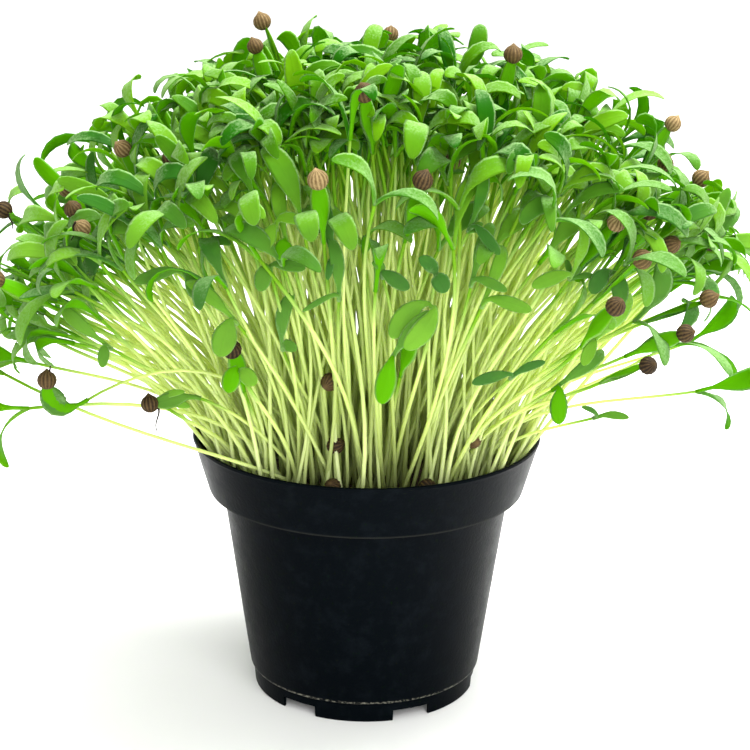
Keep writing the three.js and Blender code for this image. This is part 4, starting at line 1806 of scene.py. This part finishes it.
@dataclass
class Seedlings:
    """The plants: every tuft is one piece of stems, leaves and husks."""

    sowing: Sowing
    crowding: Crowding = field(default_factory=Crowding)
    stem_sides: int = 6
    stem_rings: int = 13
    stem_foot: float = 0.5
    stem_neck: float = 0.41
    thread_foot: float = 0.3
    thread_end: float = 0.14
    thread_tone: float = 0.1
    leaf_sides: int = 8
    leaf_shares: tuple[float, ...] = (0, 0.1, 0.2, 0.3, 0.41, 0.53, 0.65, 0.76, 0.86, 0.93, 0.972, 0.993, 1)
    leaf_thickness: float = 0.32
    leaf_neck: float = 0.55
    leaf_tip: float = 0.12
    leaf_narrowing: float = 0.9
    ripple: float = 0.1
    ripples: float = 9.0
    cup: float = 0.15
    closing: float = 0.18
    husk_ribs: int = 14
    husk_rings: int = 8
    husk_least: float = 0.9
    husk_more: float = 0.15
    husk_height: float = 0.96
    husk_tilt: float = 0.5
    dark_below: float = 80.0
    pale_above: float = 140.0
    dark_share: float = 0.45
    groove: float = 0.93
    beak: float = 0.28
    true_leaf_every: int = 11
    true_leaf_length: float = 5.0
    true_leaf_half_width: float = 1.0
    lobe_spread: float = 55.0

    def blade_half_widths(self, share: np.ndarray, half_width: float) -> np.ndarray:
        """Return half of a dressed leaf's width: a strap that widens slowly, with a round tip."""
        q = np.clip((share - 0.1) / 0.9, 0, 1)
        swell = np.sin(math.pi / 2 * np.minimum(1, q / 0.62)) ** 1.5
        blade = self.leaf_narrowing * half_width * swell * np.maximum(0, 1 - q**6) ** 0.55
        return np.maximum(np.where(share < 0.6, self.leaf_neck, self.leaf_tip), blade)

    def rod(self, name: str, sides: int, rings: int) -> tuple[np.ndarray, list[list[int]]]:
        """Model a straight rod of unit radius and length with even rings.

        Args:
            name: what the rod is for.
            sides: how many sides it has.
            rings: how many rings of points it has.

        Returns:
            Its points and faces.
        """
        deselect_all()
        bpy.ops.mesh.primitive_cylinder_add(vertices=sides, radius=1, depth=1, location=(0, 0, 0))
        rod = named(name)
        for part in (*rod.data.vertices, *rod.data.polygons):
            part.select = False
        for edge in rod.data.edges:
            ends = [rod.data.vertices[i].co.z for i in edge.vertices]
            edge.select = abs(ends[0] - ends[1]) > 0.5
        bpy.ops.object.mode_set(mode="EDIT")
        bpy.ops.mesh.select_mode(type="EDGE")
        bpy.ops.mesh.subdivide(number_cuts=rings - 2)
        bpy.ops.object.mode_set(mode="OBJECT")
        return shape_of(rod)

    def husk_shape(self) -> tuple[np.ndarray, list[list[int]], np.ndarray]:
        """Model a husk: a ball with meridian ribs and a short beak.

        Returns:
            Its points, its faces, and how much each point stands on a rib.
        """
        deselect_all()
        sides = 2 * self.husk_ribs
        bpy.ops.mesh.primitive_uv_sphere_add(segments=sides, ring_count=self.husk_rings, radius=1)
        husk = named("husk")
        for vertex in husk.data.vertices:
            azimuth = math.atan2(vertex.co.y, vertex.co.x)
            vertex.select = abs(vertex.co.z) < 0.99 and math.cos(azimuth * self.husk_ribs) < 0
        for part in (*husk.data.edges, *husk.data.polygons):
            part.select = False
        grooves = np.array([v.select for v in husk.data.vertices], float)
        bpy.ops.object.mode_set(mode="EDIT")
        bpy.ops.mesh.select_mode(type="VERT")
        bpy.ops.transform.resize(value=(self.groove, self.groove, 1), center_override=(0, 0, 0))
        bpy.ops.mesh.select_all(action="DESELECT")
        bpy.ops.object.mode_set(mode="OBJECT")
        for vertex in husk.data.vertices:
            vertex.select = vertex.co.z > 0.99
        bpy.ops.object.mode_set(mode="EDIT")
        bpy.ops.transform.translate(value=(0, 0, self.beak))
        bpy.ops.object.mode_set(mode="OBJECT")
        return *shape_of(husk), 1 - grooves

    def swept(
        self, points: np.ndarray, curve: np.ndarray, side: np.ndarray, foot: float, neck: float
    ) -> tuple[np.ndarray, np.ndarray]:
        """Bend a modelled rod along a curve.

        Args:
            points: the rod's points.
            curve: the four control points.
            side: a direction across the curve at its end.
            foot: the radius at its start.
            neck: the radius at its end.

        Returns:
            The placed points, and each one's share of the way along.
        """
        shares = np.arange(self.stem_rings) / (self.stem_rings - 1)
        headings = curve_headings(curve, shares)
        sides = np.zeros_like(headings)
        for i in range(self.stem_rings - 1, -1, -1):
            side = unit(side - headings[i] * np.dot(side, headings[i]))
            sides[i] = side
        ring = np.rint((points[:, 2] + 0.5) * (self.stem_rings - 1)).astype(int)
        share = shares[ring]
        radius = foot + (neck - foot) * share
        placed = curve_points(curve, shares)[ring] + sides[ring] * (points[:, 0] * radius)[:, None]
        placed += np.cross(sides, headings)[ring] * (-points[:, 1] * radius)[:, None]
        return placed, share

    def add_stem(self, builder: MeshBuilder, one: Seedling, rod: tuple, vigour: float) -> None:
        """Add a seedling's stem to its tuft.

        Args:
            builder: the tuft's mesh.
            one: the seedling.
            rod: the stem's modelled rod.
            vigour: the plant's own tone, from 0 to 1.
        """
        points, faces = rod
        grown = 0.85 + 0.3 * vigour
        ends = (self.stem_foot * grown, self.stem_neck * grown)
        placed, share = self.swept(points, one.curve, one.leaves[0].side[0], *ends)
        shade = self.crowding.shade(one.curve, share, vigour, self.sowing.infill.radius)
        values = {"growth": share, "vigour": np.full(len(points), vigour), "shade": shade}
        builder.add(placed, faces, values, Finish.STEM)

    def add_leaf(self, builder: MeshBuilder, leaf: LeafPath, rod: tuple, vigour: float, draw: Draws) -> None:
        """Add one leaf to its tuft.

        Args:
            builder: the tuft's mesh.
            leaf: the leaf's path.
            rod: the leaf's modelled rod.
            vigour: the plant's own tone, from 0 to 1.
            draw: the plant's stream of numbers.
        """
        points, faces = rod
        across, lift = points[:, 0], points[:, 1]
        last = len(self.leaf_shares) - 1
        ring = np.rint((points[:, 2] + 0.5) * last).astype(int)
        share = np.array(self.leaf_shares)[ring]
        exact = share * self.sowing.leaf_steps
        step = np.minimum(np.floor(exact).astype(int), self.sowing.leaf_steps - 1)
        part = (exact - step)[:, None]
        centre, side, upper = (
            row[step] * (1 - part) + row[step + 1] * part for row in (leaf.points, leaf.side, leaf.upper)
        )
        half = self.blade_half_widths(share, leaf.half_width)
        blade = np.clip((share - 0.2) / 0.3, 0, 1)
        thick = np.where(ring == last, 0.1, self.leaf_thickness * (1.6 - 1.1 * blade))
        wave = self.ripple * (draw() - 0.5) * half * np.sin(share * self.ripples + 6 * draw())
        wave = wave * np.sign(across)
        cup = self.cup * (0.3 + 1.2 * draw())
        height = lift * thick + cup * half * across**2 * blade + wave * blade
        placed = centre + unit(side) * (across * half)[:, None] + unit(upper) * height[:, None]
        values = {
            "growth": share,
            "vigour": np.full(len(points), vigour),
            "upside": (lift > -0.1).astype(float),
        }
        flat = np.column_stack([(across + 1) / 2, share])
        builder.add(placed, [face[::-1] for face in faces], values, Finish.LEAF, flat)

    def add_true_leaf(self, builder: MeshBuilder, one: Seedling, rod: tuple, draw: Draws) -> None:
        """Add the three lobes of a seedling's first true leaf, between its seed leaves.

        Args:
            builder: the tuft's mesh.
            one: the seedling.
            rod: the leaf's modelled rod.
            draw: the plant's stream of numbers.
        """
        first = 2 * math.pi * draw()
        for lobe in (-1, 0, 1):
            outwards = around_tip(one.tip, first + math.radians(self.lobe_spread) * lobe)
            length = self.true_leaf_length * (0.8 + 0.4 * draw())
            bend = opening_bend(math.radians(15 + 20 * abs(lobe)), math.radians(80), 1.0)
            size = (length, self.true_leaf_half_width, self.sowing.capped_droop, 0.0)
            path = self.sowing.leaf(one.curve[3], one.tip, outwards, *size, bend)
            self.add_leaf(builder, path, rod, 0.1 + 0.3 * draw(), draw)

    def add_husk(
        self, builder: MeshBuilder, centre: np.ndarray, beak: np.ndarray, shape: tuple, draw: Draws
    ) -> None:
        """Add a husk, darker the lower it hangs.

        Args:
            builder: the mesh that it joins.
            centre: its centre.
            beak: the way that its beak points, roughly.
            shape: the modelled husk.
            draw: the plant's stream of numbers.
        """
        points, faces, ribs = shape
        radius = self.sowing.husk_radius * (self.husk_least + self.husk_more * draw())
        lean = unit(beak + self.husk_tilt * (np.array([draw(), draw(), draw()]) - 0.5))
        level = unit(np.cross(lean, np.array([0.3, 0.5, 0.8])))
        axes = (level, np.cross(lean, level), lean * self.husk_height)
        turned = points[:, :1] * axes[0] + points[:, 1:2] * axes[1] + points[:, 2:] * axes[2]
        height = (centre[2] - self.dark_below) / (self.pale_above - self.dark_below)
        tone = (0.25 + 0.6 * draw()) * float(np.clip(height, self.dark_share, 1))
        values = {"growth": ribs, "vigour": np.full(len(points), tone)}
        builder.add(centre + turned * radius, faces, values, Finish.HUSK)

    def sown(self) -> list[Seedling]:
        """Sow every group of plants in order, the tufts first."""
        sowing = self.sowing
        plants = sowing.tuft_seedlings()
        LOG.info("sown in the tufts: %d", len(plants))
        plants += sowing.between()
        plants += sowing.hanging(LOW_SEEDLINGS)
        plants += sowing.holding_husks(HELD_HUSKS)
        plants += sowing.holding_low(HUSK_SEEDLINGS)
        plants += sowing.trailing(FLOPPED_STEMS + FRONT_STEMS)
        LOG.info("sown in all: %d", len(plants))
        return plants

    def build(self) -> None:
        """Build, dress and hand over the dropped husks and every tuft."""
        stem_rod = self.rod("stem_rod", self.stem_sides, self.stem_rings)
        leaf_rod = self.rod("leaf_rod", self.leaf_sides, len(self.leaf_shares))
        husk = self.husk_shape()
        builders = [MeshBuilder() for _ in range(self.sowing.tufts)]
        for index, one in enumerate(self.sown()):
            draw = Draws(Stream.PLANTS + index)
            vigour = draw()
            builder = builders[one.tuft]
            self.add_stem(builder, one, stem_rod, vigour)
            if one.husk is not None:
                one.close_leaves(self.closing)
            for leaf in one.leaves:
                self.add_leaf(builder, leaf, leaf_rod, min(max(vigour + 0.3 * (draw() - 0.5), 0), 1), draw)
            if one.husk is not None:
                self.add_husk(builder, one.husk, one.tip, husk, draw)
            elif index % self.true_leaf_every == 0:
                self.add_true_leaf(builder, one, leaf_rod, draw)
        for points in THREADS:
            curve = np.array(points)
            ends = (self.thread_foot, self.thread_end)
            placed, share = self.swept(stem_rod[0], curve, np.array([0.6, 0.8, 0.0]), *ends)
            dark = {"vigour": np.full(len(share), self.thread_tone)}
            builders[self.sowing.nearest_tuft(curve[0])].add(placed, stem_rod[1], dark, Finish.HUSK)
        dropped = MeshBuilder()
        for index, centre in enumerate(DROPPED_HUSKS):
            draw = Draws(Stream.DROPPED + index)
            beak = unit(np.array([draw(), draw(), draw()]) - 0.5)
            self.add_husk(dropped, np.array(centre), beak, husk, draw)
        materials = [StemTissue().material(), LeafTissue().material(), SeedHusk().material()]
        for number, builder in enumerate((dropped, *builders)):
            piece = builder.piece(f"coriander_tuft_{number:02d}" if number else "dropped_seed_husks")
            for material in materials:
                piece.data.materials.append(material)
            hand_over(piece, "seedling", *([f"seedling_tuft_{number:02d}"] if number else []))


# Studio


@dataclass
class Studio:
    """A pale floor, soft white light from all round, and the camera."""

    floor_size: float = 6.0
    floor_colour: str = "#f7f7f5"
    sky_strength: float = 0.94
    key_power: float = 28.0
    key_size: float = 0.5
    fill_power: float = 19.0
    fill_size: float = 1.2
    camera_x: float = 0.002
    camera_back: float = 0.4935
    camera_height: float = 0.2315
    pitch: float = 16.65
    roll: float = 0.66
    lens: float = 96.0

    def floor(self) -> None:
        """Lay the floor."""
        deselect_all()
        bpy.ops.mesh.primitive_plane_add(size=self.floor_size, location=(0, 0, 0))
        floor = named("studio_floor")
        material, tree = new_material("matt_white_paper")
        place = add_node(tree, "ShaderNodeTexCoord").outputs["Object"]
        mottle = add_node(tree, "ShaderNodeTexNoise", {"Vector": place, "Scale": 9.0})
        colour = add_ramp(tree, mottle.outputs["Fac"], [(0.3, self.floor_colour), (0.8, "#f9f9f8")])
        shader = add_node(tree, "ShaderNodeBsdfPrincipled", {"Base Color": colour, "Roughness": 0.8})
        add_node(tree, "ShaderNodeOutputMaterial", {"Surface": shader.outputs[0]})
        floor.data.materials.append(material)

    def sky(self) -> None:
        """Light the scene from all round with plain white."""
        world = bpy.data.worlds.new("white_tent")
        world.use_nodes = True
        world.node_tree.nodes.clear()
        back = add_node(
            world.node_tree,
            "ShaderNodeBackground",
            {"Color": (1.0, 1.0, 1.0, 1.0), "Strength": self.sky_strength},
        )
        add_node(world.node_tree, "ShaderNodeOutputWorld", {"Surface": back.outputs[0]})
        bpy.context.scene.world = world
        bpy.context.scene.view_settings.view_transform = "Standard"

    def softbox(self, name: str, power: float, size: float, place: tuple[float, float, float]) -> None:
        """Hang a square soft lamp that faces the crown.

        Args:
            name: the lamp's name.
            power: its power in watts.
            size: its side in metres.
            place: where it hangs, in metres.
        """
        lamp = bpy.data.lights.new(name, "AREA")
        lamp.energy = power
        lamp.size = size
        made = bpy.data.objects.new(name, lamp)
        aim = Vector((0, 0, 0.11)) - Vector(place)
        made.matrix_world = Matrix.Translation(place) @ aim.to_track_quat("-Z", "Y").to_matrix().to_4x4()
        bpy.context.scene.collection.objects.link(made)

    def camera(self) -> None:
        """Set up the camera, a little above the pot and looking down at it."""
        lens = bpy.data.cameras.new("camera")
        lens.lens = self.lens
        lens.sensor_width = 36.0
        made = bpy.data.objects.new("camera", lens)
        pitch = Matrix.Rotation(math.radians(90 - self.pitch), 4, "X")
        roll = Matrix.Rotation(math.radians(self.roll), 4, "Z")
        place = Matrix.Translation((self.camera_x, -self.camera_back, self.camera_height))
        made.matrix_world = place @ (pitch @ roll)
        bpy.context.scene.collection.objects.link(made)
        bpy.context.scene.camera = made

    def build(self) -> None:
        """Build the studio."""
        self.floor()
        self.sky()
        self.softbox("overhead_softbox", self.key_power, self.key_size, (0.3, 0.1, 1.0))
        self.softbox("front_softbox", self.fill_power, self.fill_size, (0.3, -1.25, 0.7))
        self.camera()


def main() -> None:
    """Build every sub-assembly in order."""
    logging.basicConfig(level=logging.INFO, format="%(name)s: %(message)s")
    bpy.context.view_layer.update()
    pot = Pot()
    pot.build()
    medium = GrowingMedium(pot)
    medium.build()
    Seedlings(Sowing(pot, medium)).build()
    Studio().build()


if __name__ == "__main__":
    main()
